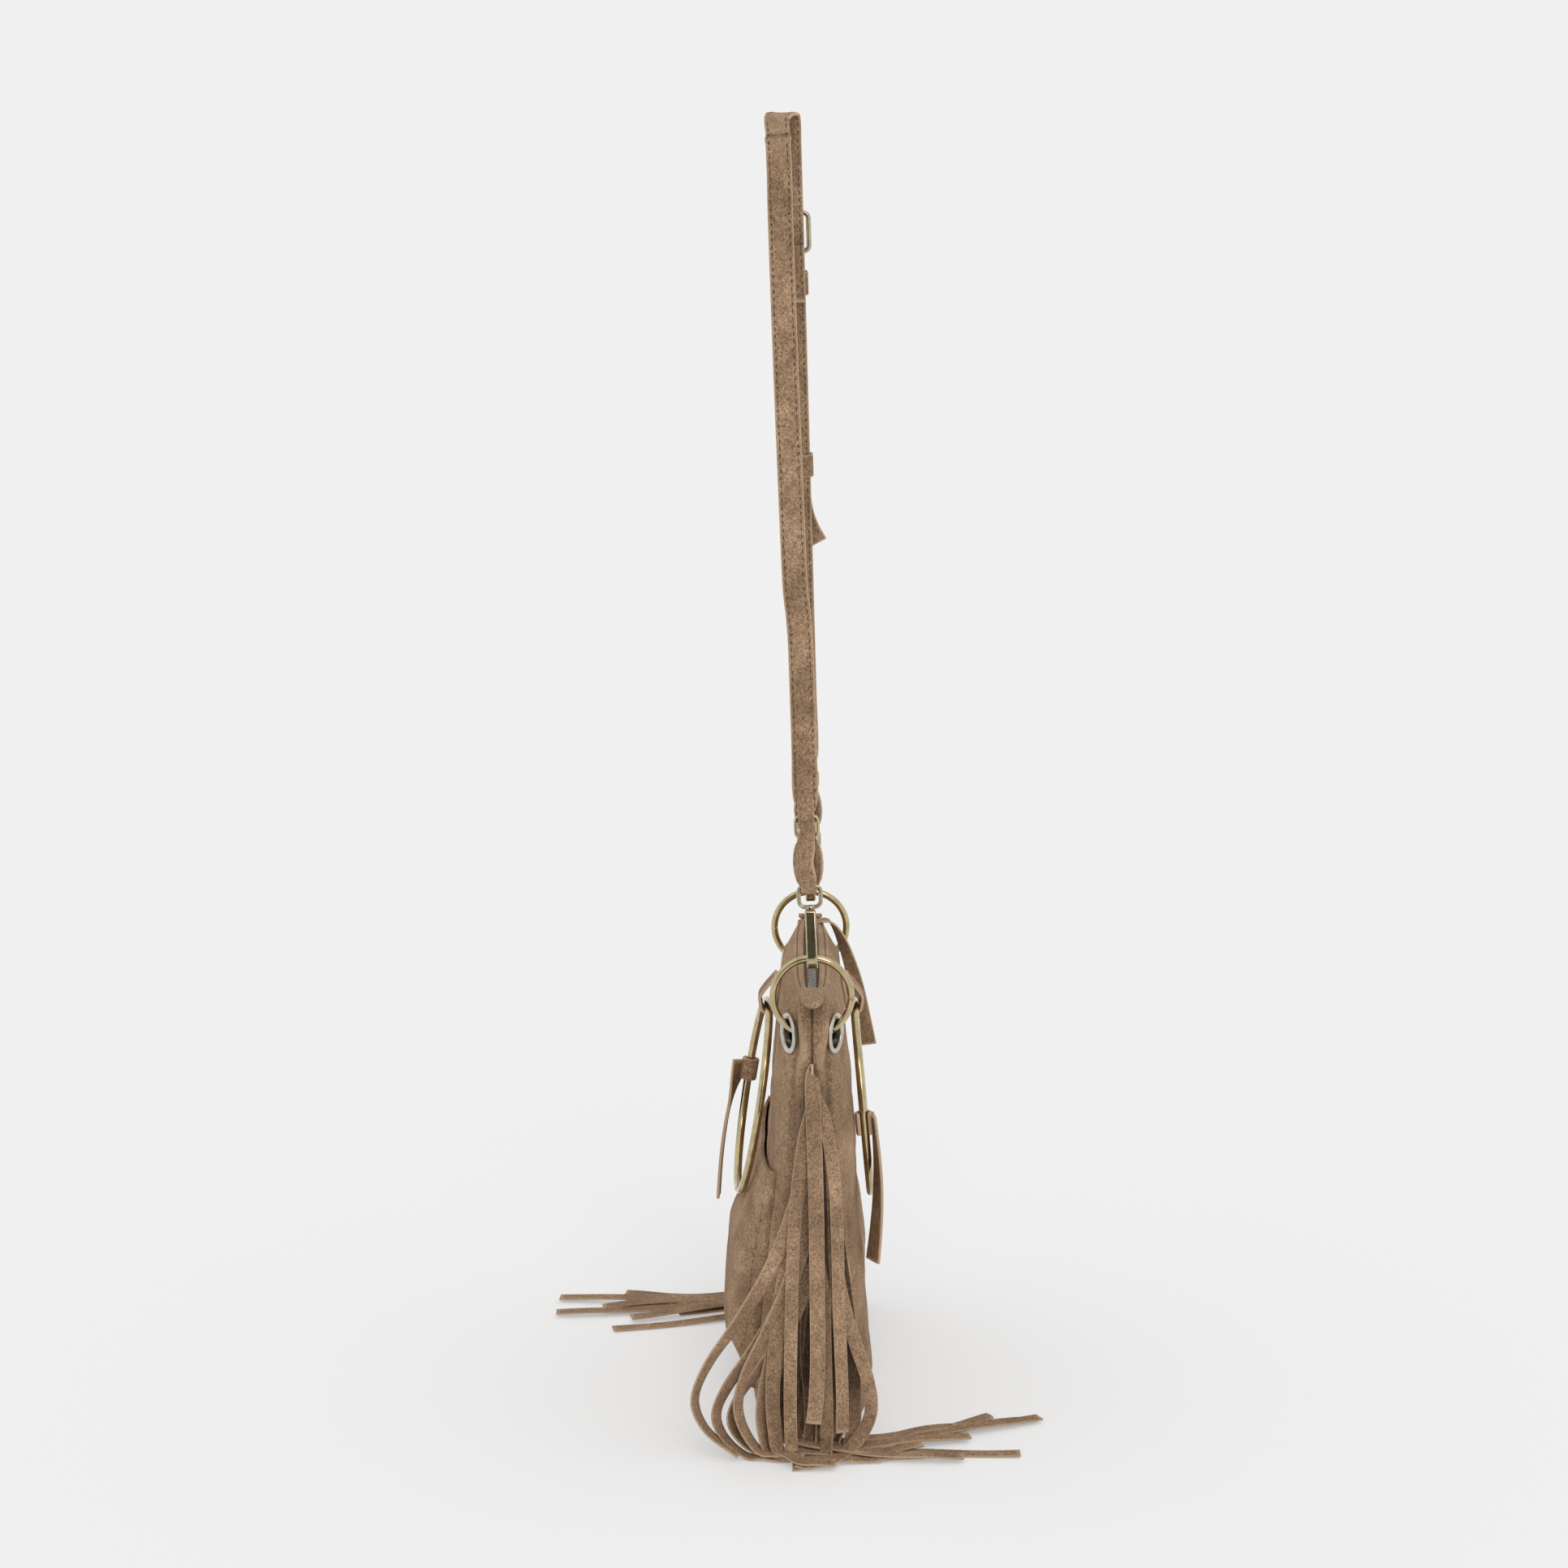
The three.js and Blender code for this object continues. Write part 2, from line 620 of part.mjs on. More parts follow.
function buildFaceRing(name, facing, y, lean, yaw) {
  const pivot = new THREE.Group();
  pivot.position.set(0, y, FACE_RING_TOP);
  pivot.rotation.set(facing * rad(lean), 0, rad(yaw));
  const circle = Array.from({ length: FACE_RING_STEPS }, (_, i) => {
    const turn = i * 2 * Math.PI / FACE_RING_STEPS;
    return v(FACE_MEAN * Math.cos(turn), 0, FACE_MEAN * (Math.sin(turn) - 1));
  });
  const ring = wire(circle, Y_AXIS, FACE_RING_WIRE, RING_SIDES, true);
  add(pivot, `face_ring_${name}`, ring, metal(BRASS_COLOUR));
  add(pivot, `tail_strap_${name}`, tailStrap(facing), suede());
  bag.add(pivot);
  add(bag, `ring_loop_${name}`, ringLoop(facing, y), suede());
}

// A loop of suede round the ring's top, its two ends flat together on the panel
function ringLoop(facing, y) {
  const radius = FACE_RING_WIRE / 2 + LOOP_CLEARANCE + SUEDE / 2;
  const seat = halfDepth(FACE_RING_TOP + LOOP_RISE) + GAP / 2 + GAP + SUEDE / 2;
  const top = FACE_RING_TOP + LOOP_RISE;
  const inner = Math.abs(y) - radius;
  const turn = Array.from({ length: LOOP_STEPS + 1 }, (_, i) => {
    const angle = Math.PI * (1 + i / LOOP_STEPS);
    return [Math.abs(y) + radius * Math.cos(angle), FACE_RING_TOP + radius * Math.sin(angle)];
  });
  const outer = seat + SUEDE + GAP;
  const path = [[seat, top], [inner, FACE_RING_TOP + LOOP_RISE / 3], ...turn,
    [Math.abs(y) + radius, FACE_RING_TOP + LOOP_RISE / 3], [outer, top]];
  const stations = path.map(([depth, z]) => ({
    point: v(0, facing * depth, z),
    width: LOOP_WIDTH,
    across: X_AXIS,
  }));
  return band(stations, SUEDE);
}

// A strap tail folded round the ring's side, hanging outside it
function tailStrap(facing) {
  const side = facing;
  const radius = FACE_RING_WIRE / 2 + TAIL_CLEARANCE + SUEDE / 2;
  const height = -FACE_MEAN;
  const x = FACE_MEAN;
  const wrap = Array.from({ length: LOOP_STEPS + 1 }, (_, i) => {
    const angle = Math.PI * (1 + TAIL_WRAP * (i / LOOP_STEPS - 1 / 2));
    return v(side * (x + radius * Math.cos(angle)), facing * radius * Math.sin(angle), height);
  });
  const strap = wrap.map((point) => ({ point, width: TAIL_WIDTH, across: Z_AXIS }));
  const hang = [0, 0.3, 0.65, 1].map((share) => ({
    point: v(side * x, facing * (radius + SUEDE - GAP + TAIL_BOW * Math.sin(share * Math.PI)),
      height + TAIL_WIDTH / 3 - share * TAIL_LENGTH),
    width: TAIL_WIDTH,
    across: X_AXIS,
  }));
  return joined([band(strap, SUEDE), band(hang, SUEDE)]);
}

// Strap line: both runs go straight to the apex from the hooks, whose bows pull up on the end rings
const RING_TOP = RING_Z + RING_MEAN + HOOK_BOW - RING_WIRE / 2 - HOOK_SEAT;

function runFrame(end) {
  const foot = v(end * RING_X, 0, RING_TOP);
  const top = v(0, end < 0 ? STRAP_SKEW : 0, 0).add(APEX);
  const along = v().subVectors(top, foot).normalize();
  const across = v().crossVectors(along, v(end, 0, 0)).normalize();
  const out = v().crossVectors(across, along);
  return { foot, along, across, out, length: top.distanceTo(foot) };
}

function runGroup(end) {
  const { foot, along, across, out } = runFrame(end);
  const group = new THREE.Group();
  group.matrixAutoUpdate = false;
  group.matrix.makeBasis(out, across, along).setPosition(foot);
  bag.add(group);
  return group;
}

// Heights along a run, from the bow's centre upwards
const EYE_FOOT = HOOK_HEIGHT + GAP;
const EYE_BAR = EYE_FOOT + EYE_HEIGHT - EYE_WIRE;
const LOOP_RADIUS = EYE_WIRE / 2 + GAP + SUEDE / 2;
const STRAP_RING_BAR = EYE_BAR + LINK_LOOP_HEIGHT;
const STRAP_RING_TOP = STRAP_RING_BAR + STRAP_RING_HEIGHT - STRAP_RING_WIRE;

function hookProfile() {
  const inner = HOOK_BOW;
  const outer = HOOK_BOW + HOOK_BAR;
  const top = HOOK_HEIGHT;
  const shape = new THREE.Shape();
  shape.moveTo(outer, top);
  shape.lineTo(outer, 0);
  shape.absarc(0, 0, outer, 0, -Math.PI, true);
  shape.lineTo(-outer, HOOK_THROAT / 2);
  shape.lineTo(-inner, HOOK_THROAT / 2);
  shape.lineTo(-inner, 0);
  shape.absarc(0, 0, inner, Math.PI, 2 * Math.PI, false);
  shape.lineTo(inner, top - 2 * HOOK_BAR);
  shape.lineTo(-inner, top - 2 * HOOK_BAR);
  shape.lineTo(-outer, top - HOOK_BAR);
  shape.lineTo(-inner, top);
  shape.closePath();
  return shape;
}

function swivelRod(slack, length) {
  return rod(SWIVEL_DIAMETER + slack, length, SWIVEL_SIDES).rotateX(Math.PI / 2);
}

function buildHook(place, end) {
  const group = runGroup(end);
  const flat = { depth: HOOK_WIDTH, bevelEnabled: false, curveSegments: 8 };
  const body = new THREE.ExtrudeGeometry(hookProfile(), flat);
  body.translate(0, 0, -HOOK_WIDTH / 2).rotateX(Math.PI / 2);
  const swivelHole = swivelRod(2 * GAP, 4 * HOOK_BAR).translate(0, 0, HOOK_HEIGHT);
  add(group, `hook_body_${place}`, geometryOf(solid(body).subtract(solid(swivelHole))), metal(NICKEL_COLOUR));
  buildHookGate(group, place);
  buildHookEye(group, place);
  buildLinkLoop(group, place);
  buildStrapRing(group, place);
}

// The gate closes the throat and swings inwards about its top
function buildHookGate(group, place) {
  const top = HOOK_HEIGHT - 2 * HOOK_BAR - HOOK_GATE_GAP;
  const foot = HOOK_THROAT / 2 + GAP;
  const gate = box(HOOK_BAR, HOOK_WIDTH - 2 * GAP, top - foot, -HOOK_BOW - HOOK_BAR / 2, 0, (top + foot) / 2);
  add(group, `hook_gate_${place}`, gate, metal(NICKEL_COLOUR));
}

function ovalPoints(width, height, corner, z) {
  const shape = new THREE.Shape();
  const w = width / 2 - corner;
  const h = height / 2 - corner;
  shape.moveTo(w + corner, -h);
  shape.lineTo(w + corner, h);
  shape.absarc(w, h, corner, 0, Math.PI / 2, false);
  shape.lineTo(-w, h + corner);
  shape.absarc(-w, h, corner, Math.PI / 2, Math.PI, false);
  shape.lineTo(-w - corner, -h);
  shape.absarc(-w, -h, corner, Math.PI, 1.5 * Math.PI, false);
  shape.lineTo(w, -h - corner);
  shape.absarc(w, -h, corner, 1.5 * Math.PI, 2 * Math.PI, false);
  const flat = shape.getPoints(2);
  const unique = flat.filter((p, i) => i === 0 || p.distanceTo(flat[i - 1]) > GAP);
  if (unique[0].distanceTo(unique.at(-1)) < GAP) unique.pop();
  return unique.map((p) => v(0, p.x, p.y + z));
}

function buildHookEye(group, place) {
  const width = EYE_WIDTH - EYE_WIRE;
  const loop = ovalPoints(width, EYE_HEIGHT - EYE_WIRE, EYE_WIRE, EYE_FOOT + EYE_HEIGHT / 2);
  const eye = wire(loop, X_AXIS, EYE_WIRE, LINK_SIDES, true);
  const stem = swivelRod(0, 3 * HOOK_BAR).translate(0, 0, EYE_FOOT - HOOK_BAR / 2);
  const above = box(EYE_WIDTH, EYE_WIDTH, EYE_WIDTH, 0, 0, EYE_FOOT + EYE_WIRE + EYE_WIDTH / 2);
  const rest = solid(stem).subtract(solid(above));
  add(group, `hook_eye_${place}`, geometryOf(solid(eye).add(rest)), metal(NICKEL_COLOUR));
}

function buildLinkLoop(group, place) {
  const low = EYE_BAR;
  const high = STRAP_RING_BAR;
  const arc = (centre, from) => Array.from({ length: FOLD_STEPS + 1 }, (_, i) => {
    const turn = from + i * Math.PI / FOLD_STEPS;
    return [LOOP_RADIUS * Math.cos(turn), centre + LOOP_RADIUS * Math.sin(turn), NECK_WIDTH];
  });
  const mid = (low + high) / 2;
  const path = [...arc(high, 0), [-LOOP_RADIUS, mid, STRAP_WIDTH], ...arc(low, Math.PI),
    [LOOP_RADIUS, mid, STRAP_WIDTH]];
  const stations = path.map(([x, z, width]) => ({ point: v(x, 0, z), width, across: Y_AXIS }));
  add(group, `link_loop_${place}`, band(stations, SUEDE, true), suede());
}

function buildStrapRing(group, place) {
  const middle = (STRAP_RING_BAR + STRAP_RING_TOP) / 2;
  const height = STRAP_RING_TOP - STRAP_RING_BAR;
  const loop = ovalPoints(STRAP_RING_WIDTH - STRAP_RING_WIRE, height, STRAP_RING_WIRE, middle);
  const ring = wire(loop, X_AXIS, STRAP_RING_WIRE, LINK_SIDES, true);
  add(group, `strap_ring_${place}`, ring, metal(BRASS_COLOUR));
}

// Stations on a run: height along it, offset outwards from it, and width
function onRun(end, rows) {
  const { foot, along, across, out } = runFrame(end);
  return rows.map(([height, offset, width]) => ({
    point: foot.clone().addScaledVector(along, height).addScaledVector(out, offset),
    width,
    across,
  }));
}

// A strap end folded round a bar, from the end of its fold-back to its outer side
const STRAP_FOLD = STRAP_RING_WIRE / 2 + GAP + STRAP_THICKNESS / 2;

function foldRound(height, bend, centre, width, reverse) {
  return Array.from({ length: FOLD_STEPS + 1 }, (_, i) => {
    const turn = Math.PI + i * Math.PI / FOLD_STEPS;
    return [height + reverse * bend * Math.sin(turn), centre + bend * Math.cos(turn), width];
  });
}

function strapEnd() {
  const inner = -STRAP_THICKNESS - GAP;
  const join = STRAP_RING_TOP + FOLD_TAPER;
  return [[STRAP_RING_TOP + FOLD_BACK, inner, STRAP_WIDTH], [join, inner, STRAP_WIDTH],
    ...foldRound(STRAP_RING_TOP, STRAP_FOLD, 0, NECK_WIDTH, 1), [join, 0, STRAP_WIDTH]];
}

// Layers of the far run: the long strap lies outside the short one
const LONG_OFFSET = STRAP_THICKNESS + GAP;
const BUCKLE_BAR_FOLD = BUCKLE_WIRE / 2 + GAP + STRAP_THICKNESS / 2;

function buildLongStrap() {
  const near = runFrame(1);
  const far = runFrame(-1);
  const corner = 2 * APEX_RADIUS;
  const third = near.length / 3;
  const up = onRun(1, [...strapEnd(), [third, 0, STRAP_WIDTH], [2 * third, 0, STRAP_WIDTH],
    [near.length - corner, 0, STRAP_WIDTH]]);
  const over = [-2, -1, 0, 1, 2].map((i) => ({
    point: v(-i * APEX_RADIUS / 3, STRAP_SKEW * (i + 2) / 4, -APEX_RADIUS * (i / 4) ** 2).add(APEX),
    width: STRAP_WIDTH,
    across: Y_AXIS.clone(),
  }));
  const down = onRun(-1, [[far.length - corner, LONG_OFFSET, STRAP_WIDTH],
    [far.length - BUCKLE_DROP, LONG_OFFSET, STRAP_WIDTH],
    [far.length - KEEPER_SLIDING_DROP, LONG_OFFSET, STRAP_WIDTH],
    [far.length - TAIL_END_DROP + TAIL_FREE, LONG_OFFSET, STRAP_WIDTH],
    [far.length - TAIL_END_DROP, LONG_OFFSET + TAIL_CURL, STRAP_WIDTH]]);
  down.forEach((station) => station.across.negate());
  const strap = band([...up, ...over, ...down], STRAP_THICKNESS);
  add(bag, "strap_long", geometryOf(solid(strap).subtract(prongSlot())), suede());
}

function buildShortStrap() {
  const far = runFrame(-1);
  const bar = far.length - BUCKLE_DROP - BUCKLE_LENGTH;
  const fold = foldRound(bar, BUCKLE_BAR_FOLD, -BUCKLE_BAR_FOLD, STRAP_WIDTH, -1).reverse();
  const back = -2 * BUCKLE_BAR_FOLD;
  const rows = [...strapEnd(), [far.length / 2, 0, STRAP_WIDTH], ...fold,
    [bar - FOLD_BACK, back, STRAP_WIDTH]];
  const strap = band(onRun(-1, rows), STRAP_THICKNESS);
  add(bag, "strap_short", geometryOf(solid(strap).subtract(prongSlot())), suede());
}

// Buckle frame: foot bar in the short strap's fold, top bar outside the long strap
function buckleFrame() {
  const { foot, along, across, out, length } = runFrame(-1);
  const bar = foot.clone().addScaledVector(along, length - BUCKLE_DROP - BUCKLE_LENGTH)
    .addScaledVector(out, -BUCKLE_BAR_FOLD);
  const topOffset = LONG_OFFSET + STRAP_THICKNESS / 2 + GAP + BUCKLE_WIRE / 2 + BUCKLE_BAR_FOLD;
  const lean = Math.asin(topOffset / BUCKLE_LENGTH);
  const up = along.clone().applyAxisAngle(across, lean);
  const outward = v().crossVectors(across, up);
  return new THREE.Matrix4().makeBasis(outward, across, up).setPosition(bar);
}

function prongSlot() {
  const height = PRONG_SLOT_HIGH + PRONG_SLOT_LOW;
  const middle = (PRONG_SLOT_HIGH - PRONG_SLOT_LOW) / 2;
  const slot = box(4 * BUCKLE_LENGTH, PRONG_WIRE + 4 * GAP, height, 0, 0, middle);
  return solid(slot.applyMatrix4(buckleFrame()));
}

function buildBuckle() {
  const group = new THREE.Group();
  group.matrixAutoUpdate = false;
  group.matrix.copy(buckleFrame());
  bag.add(group);
  const width = STRAP_WIDTH + 2 * GAP + BUCKLE_WIRE + BUCKLE_EASE;
  const loop = ovalPoints(width, BUCKLE_LENGTH, BUCKLE_WIRE, BUCKLE_LENGTH / 2);
  add(group, "buckle_frame", wire(loop, X_AXIS, BUCKLE_WIRE, LINK_SIDES, true), metal(NICKEL_COLOUR));
  const hug = BUCKLE_WIRE / 2 + GAP + PRONG_WIRE / 2;
  const collar = Array.from({ length: 2 * FOLD_STEPS }, (_, i) => {
    const turn = i * Math.PI / FOLD_STEPS;
    return v(hug * Math.cos(turn), 0, hug * Math.sin(turn));
  });
  const tip = v(hug, 0, BUCKLE_LENGTH + BUCKLE_WIRE / 2);
  const pin = wire([v(hug, 0, 0), v(hug, 0, hug), tip], Y_AXIS, PRONG_WIRE, PRONG_SIDES, false);
  const eye = wire(collar, Y_AXIS, PRONG_WIRE, PRONG_SIDES, true);
  add(group, "buckle_prong", joined([eye, pin]), metal(NICKEL_COLOUR));
}

// Keepers hug both layers of the far run
function buildKeeper(name, drop) {
  const { length } = runFrame(-1);
  const inner = -STRAP_THICKNESS / 2 - GAP;
  const outer = LONG_OFFSET + STRAP_THICKNESS / 2 + GAP;
  const half = STRAP_WIDTH / 2 + GAP;
  const rectangle = (grow) => [[inner - grow, -half - grow], [outer + grow, -half - grow],
    [outer + grow, half + grow], [inner - grow, half + grow]].map(([x, y]) => new THREE.Vector2(x, y));
  const shape = new THREE.Shape(rectangle(KEEPER_WALL));
  shape.holes.push(new THREE.Path(rectangle(0)));
  const keeper = new THREE.ExtrudeGeometry(shape, { depth: KEEPER_LENGTH, bevelEnabled: false });
  add(runGroup(-1), name, keeper.translate(0, 0, length - drop - KEEPER_LENGTH), suede());
}

function buildStrap() {
  buildLongStrap();
  buildShortStrap();
  buildBuckle();
  buildKeeper("keeper_fixed", KEEPER_FIXED_DROP);
  buildKeeper("keeper_sliding", KEEPER_SLIDING_DROP);
}

// Fringe: a welt in the end seam, cut into strips that hang and then lie on the floor in fanned lanes
function stripPath(end, index) {
  const lane = index % FRINGE_LANES - (FRINGE_LANES - 1) / 2;
  const layer = Math.floor((FRINGE_STRIPS - 1 - index) / FRINGE_LANES);
  const startZ = lerp(FRINGE_TOP, FRINGE_FOOT, index / (FRINGE_STRIPS - 1)) - FRINGE_WIDTH / 2;
  const floorZ = FRINGE_THICKNESS + layer * FRINGE_LAYER;
  const drop = Math.min(FRINGE_LENGTH - FRINGE_WELT, startZ - floorZ);
  const lie = (FRINGE_LENGTH - drop) * (end > 0 ? FRINGE_NEAR_SPREAD : FRINGE_FAR_SPREAD);
  const heading = rad(FRINGE_HEADING - lane * FRINGE_FAN);
  const root = halfLength(startZ) + 2 * GAP + FRINGE_WELT / 2;
  const elbow = root + FRINGE_WELT;
  const aside = lane * (FRINGE_WIDTH + FRINGE_PART);
  const foot = BASE_LENGTH / 2 + 3 * FRINGE_WELT + layer * FRINGE_LAYER - aside;
  const stations = [
    { point: v(end * root, 0, startZ), across: Z_AXIS },
    { point: v(end * elbow, 0, startZ - FRINGE_PART), across: Z_AXIS },
  ];
  const flow = v(end * Math.cos(heading), end * Math.sin(heading), 0);
  const flat = v(-flow.y, flow.x, 0);
  const lieSteps = lie > FRINGE_WIDTH ? Math.ceil(lie / FRINGE_LIE_STEP) : 0;
  for (const t of FRINGE_HANG) {
    const point = v(end * lerp(elbow, foot, t), end * aside * t, startZ - drop * t);
    const across = v(0, -end, 0);
    if (lieSteps > 0) across.lerp(flat, t);
    stations.push({ point, across });
  }
  for (let i = 1; i <= lieSteps; i += 1) {
    const landing = v(end * foot, end * aside, floorZ);
    const point = landing.addScaledVector(flow, lie * i / lieSteps);
    stations.push({ point, across: flat });
  }
  return stations.map((station) => ({ ...station, width: FRINGE_WIDTH }));
}

function weltPath(end) {
  const steps = WELT_STEPS;
  return Array.from({ length: steps + 1 }, (_, i) => {
    const z = lerp(FRINGE_TOP, FRINGE_FOOT, i / steps);
    const inner = halfLength(z) + 2 * GAP;
    return { point: v(end * (inner + FRINGE_WELT / 2), 0, z), width: FRINGE_WELT, across: X_AXIS };
  });
}

function buildFringe() {
  for (const [place, end] of [["near", 1], ["far", -1]]) {
    const pieces = [band(weltPath(end), FRINGE_THICKNESS)];
    for (let i = 0; i < FRINGE_STRIPS; i += 1) pieces.push(band(stripPath(end, i), FRINGE_THICKNESS));
    add(bag, `fringe_${place}`, joined(pieces), suede());
  }
}

buildPanels();
buildBase();
buildPocket();
buildZip();
buildSlider();
buildEndTabs();
buildEndRings();
buildFaceRings();
buildHook("near", 1);
buildHook("far", -1);
buildStrap();
buildFringe();

export default bag;
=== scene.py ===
"""Fringed suede shoulder bag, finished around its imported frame.

Sizes are in millimetres unless a name or a comment says otherwise.
"""

import math

import bmesh
import bpy
import numpy as np
from bpy.props import FloatProperty, FloatVectorProperty, IntProperty, PointerProperty
from mathutils import Matrix, Vector, noise


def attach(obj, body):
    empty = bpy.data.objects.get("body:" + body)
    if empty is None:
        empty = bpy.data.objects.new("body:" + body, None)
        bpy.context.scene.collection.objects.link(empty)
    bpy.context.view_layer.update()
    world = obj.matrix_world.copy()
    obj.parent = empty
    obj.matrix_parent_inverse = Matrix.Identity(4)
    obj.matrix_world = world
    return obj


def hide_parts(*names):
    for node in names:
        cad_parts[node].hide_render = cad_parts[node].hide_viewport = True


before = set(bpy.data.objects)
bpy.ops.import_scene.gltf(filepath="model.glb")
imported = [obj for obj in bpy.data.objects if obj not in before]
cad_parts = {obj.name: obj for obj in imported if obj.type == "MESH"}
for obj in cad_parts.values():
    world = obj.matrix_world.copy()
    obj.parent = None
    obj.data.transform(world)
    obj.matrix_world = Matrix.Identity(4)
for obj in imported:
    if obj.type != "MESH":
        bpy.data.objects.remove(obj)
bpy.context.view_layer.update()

bl_info = {
    "name": "Fringed Suede Shoulder Bag",
    "version": (1, 0, 0),
    "blender": (4, 5, 0),
    "location": "3D View > Sidebar > Bag",
    "description": "Builds the suede, hardware and fringe of a shoulder bag around its frame",
    "category": "Object",
}

MM = 0.001
ENDS = (("near", 1), ("far", -1))
FACES = (("front", -1), ("back", 1))
X, Y, Z = np.eye(3)

# Sizes shared with the frame
GAP, SUEDE = 0.3, 2.0
STRAP_T, STRAP_W = 2.2, 15.0
BAG_H, TOP_L, BASE_L = 275.0, 212.0, 222.0
TOP_D, SHOULDER_D, SHOULDER_DROP = 20.0, 40.0, 24.0
BASE_D, BASE_ROUND, FOOT_D, BASE_BOARD = 74.0, 24.0, 58.0, 6.0
POCKET_TOP, POCKET_W, POCKET_MOUTH = 160.0, 168.0, 6.0
POCKET_LIP = 5.2
POCKET_SLOPE, POCKET_SAG, POCKET_TOE, POCKET_BULGE, POCKET_SEAT = 0.42, 2.8, 6.0, 16.0, 1.2
ZIP_Z, ZIP_L = 271.0, 188.0
SLIDER_X, PULL_W = -82.0, 10.0
RING_X, RING_Z, RING_OUTER, RING_WIRE = 90.0, 270.5, 50.5, 4.3
RING_MEAN = (RING_OUTER - RING_WIRE) / 2
GATE_FROM, GATE_TO, GATE_GAP = -57.0, -3.0, 0.9
EYELET_HOLE, EYELET_FLANGE, EYELET_Z = 17.0, 24.0, 248.0
FACE_WIRE, FACE_TOP = 5.0, 243.0
FACE_MEAN = (124.0 - FACE_WIRE) / 2
FACE_LEAN = {-1: 9.2, 1: 5.2}
FACE_YAW = {-1: 3.0, 1: 0.0}
FACE_Y = 26.5
APEX = np.array([0.0, -21.0, 783.0])
STRAP_SKEW = 6.5
HOOK_BOW, HOOK_BAR, HOOK_W, HOOK_H, HOOK_THROAT = 4.0, 3.0, 6.5, 28.0, 9.0
RING_TOP = RING_Z + RING_MEAN + HOOK_BOW - RING_WIRE / 2 - 0.95
EYE_WIRE, EYE_W, EYE_H = 2.6, 15.5, 15.0
EYE_FOOT = HOOK_H + GAP
EYE_BAR = EYE_FOOT + EYE_H - EYE_WIRE
LINK_H, NECK_W = 30.0, 9.0
SRING_BAR, SRING_WIRE, SRING_W, SRING_H = EYE_BAR + LINK_H, 2.4, 15.2, 15.0
SRING_TOP = SRING_BAR + SRING_H - SRING_WIRE
BUCKLE_DROP, BUCKLE_L, BUCKLE_WIRE = 58.0, 23.0, 3.0
PRONG_WIRE = 2.2
FRINGE_TOP, FRINGE_FOOT, FRINGE_L = 234.0, 26.0, 214.0
FOLD_BACK, FOLD_TAPER = 30.0, 12.0
LONG_OFFSET = STRAP_T + GAP
BUCKLE_FOLD = BUCKLE_WIRE / 2 + GAP + STRAP_T / 2
LINK_BEND = EYE_WIRE / 2 + GAP + SUEDE / 2
TAIL_L, TAIL_W = 92.0, 14.0

# Sizes of the finish
FLAT_WALL = 25.0  # a plate's side wall above this area, in square mm, keeps a flat face of its own
RUB_AND_PAINTED_LIGHT = 0.13  # how much paler the nap is on a crest, rubbed and in painted light, and how much darker in a hollow, in painted shade, for each mm
FRONT_SEED = 0.4  # where the front panel's folds start; the back panel's start 1 further on
LINK_TURN = math.radians(-40)  # twist of a link loop at its middle
STRAP_KINK = 205.0  # height on the near run at which the strap steps aside
CREASE_Z = 770.6  # height of the pinched crease at the strap's top
STRAP_STEP, STITCH_STEP = 1.6, 2.4  # between the rings of the long strap, and the points of a stitch line
FRINGE_REACH = 152.0  # the fringe spreads no further than this from the bag's middle
SWAG = -15  # a strip that sways further to the left than this swings out late
FRONT_SHADE, DEEP_SHADE = -0.05, 0.95  # painted shade of a strip that hangs in front, below 0 so a touch of painted light, and of one behind it in the others' shade
FLOOR_Z = -0.0004  # in metres
FLOOR_GLOW = 0.4  # share of the floor's shade that the camera sees unshadowed


def srgb(r, g, b):
    """A colour read in 0 to 255 steps, as the linear value a socket takes."""
    lin = [(c / 255) / 12.92 if c <= 10 else ((c / 255 + 0.055) / 1.055) ** 2.4 for c in (r, g, b)]
    return (*lin, 1.0)


class BagLook(bpy.types.PropertyGroup):
    """Colours and fine sizes of the bag that a user may change."""

    def colour(name, note, rgb):
        return FloatVectorProperty(
            name=name, description=note, subtype="COLOR", size=4, min=0, max=1, default=srgb(*rgb)
        )

    suede: colour("Suede", "Body of the nap", (150, 122, 96))
    suede_dark: colour("Suede, dark", "Nap brushed against the light", (102, 80, 62))
    suede_light: colour("Suede, light", "Nap brushed along the light", (188, 158, 129))
    edge: colour("Cut edge", "Raw edge of the suede", (205, 182, 153))
    thread: colour("Thread", "Sewing thread", (74, 57, 43))
    tape: colour("Zip tape", "Woven zip tape", (104, 84, 66))
    brass: colour("Antique brass", "Rings", (203, 186, 144))
    nickel: colour("Warm nickel", "Hooks and buckle", (196, 184, 152))
    steel: colour("Pale metal", "Eyelets and zip", (206, 202, 190))
    stitch_pitch: FloatProperty(
        name="Stitch pitch", description="Between stitches, in mm", default=4.4, min=1
    )
    strips: IntProperty(name="Fringe strips", description="Strips cut in each fringe", default=22, min=4)
    strip_width: FloatProperty(
        name="Strip width", description="Of a fringe strip, in mm", default=8.4, min=2
    )


def look():
    return bpy.context.scene.bag_look


# Materials

def new_material(name):
    made = bpy.data.materials.get(name)
    if made:
        return made, None
    made = bpy.data.materials.new(name)
    made.use_nodes = True
    return made, made.node_tree


def node(tree, kind, **inputs):
    made = tree.nodes.new(kind)
    for key, value in inputs.items():
        made.inputs[key.replace("_", " ")].default_value = value
    return made


def noise_at(tree, coords, scale, detail=3.0, rough=0.6):
    tex = node(tree, "ShaderNodeTexNoise", Scale=scale, Detail=detail, Roughness=rough)
    tree.links.new(coords, tex.inputs["Vector"])
    return tex.outputs["Fac"]


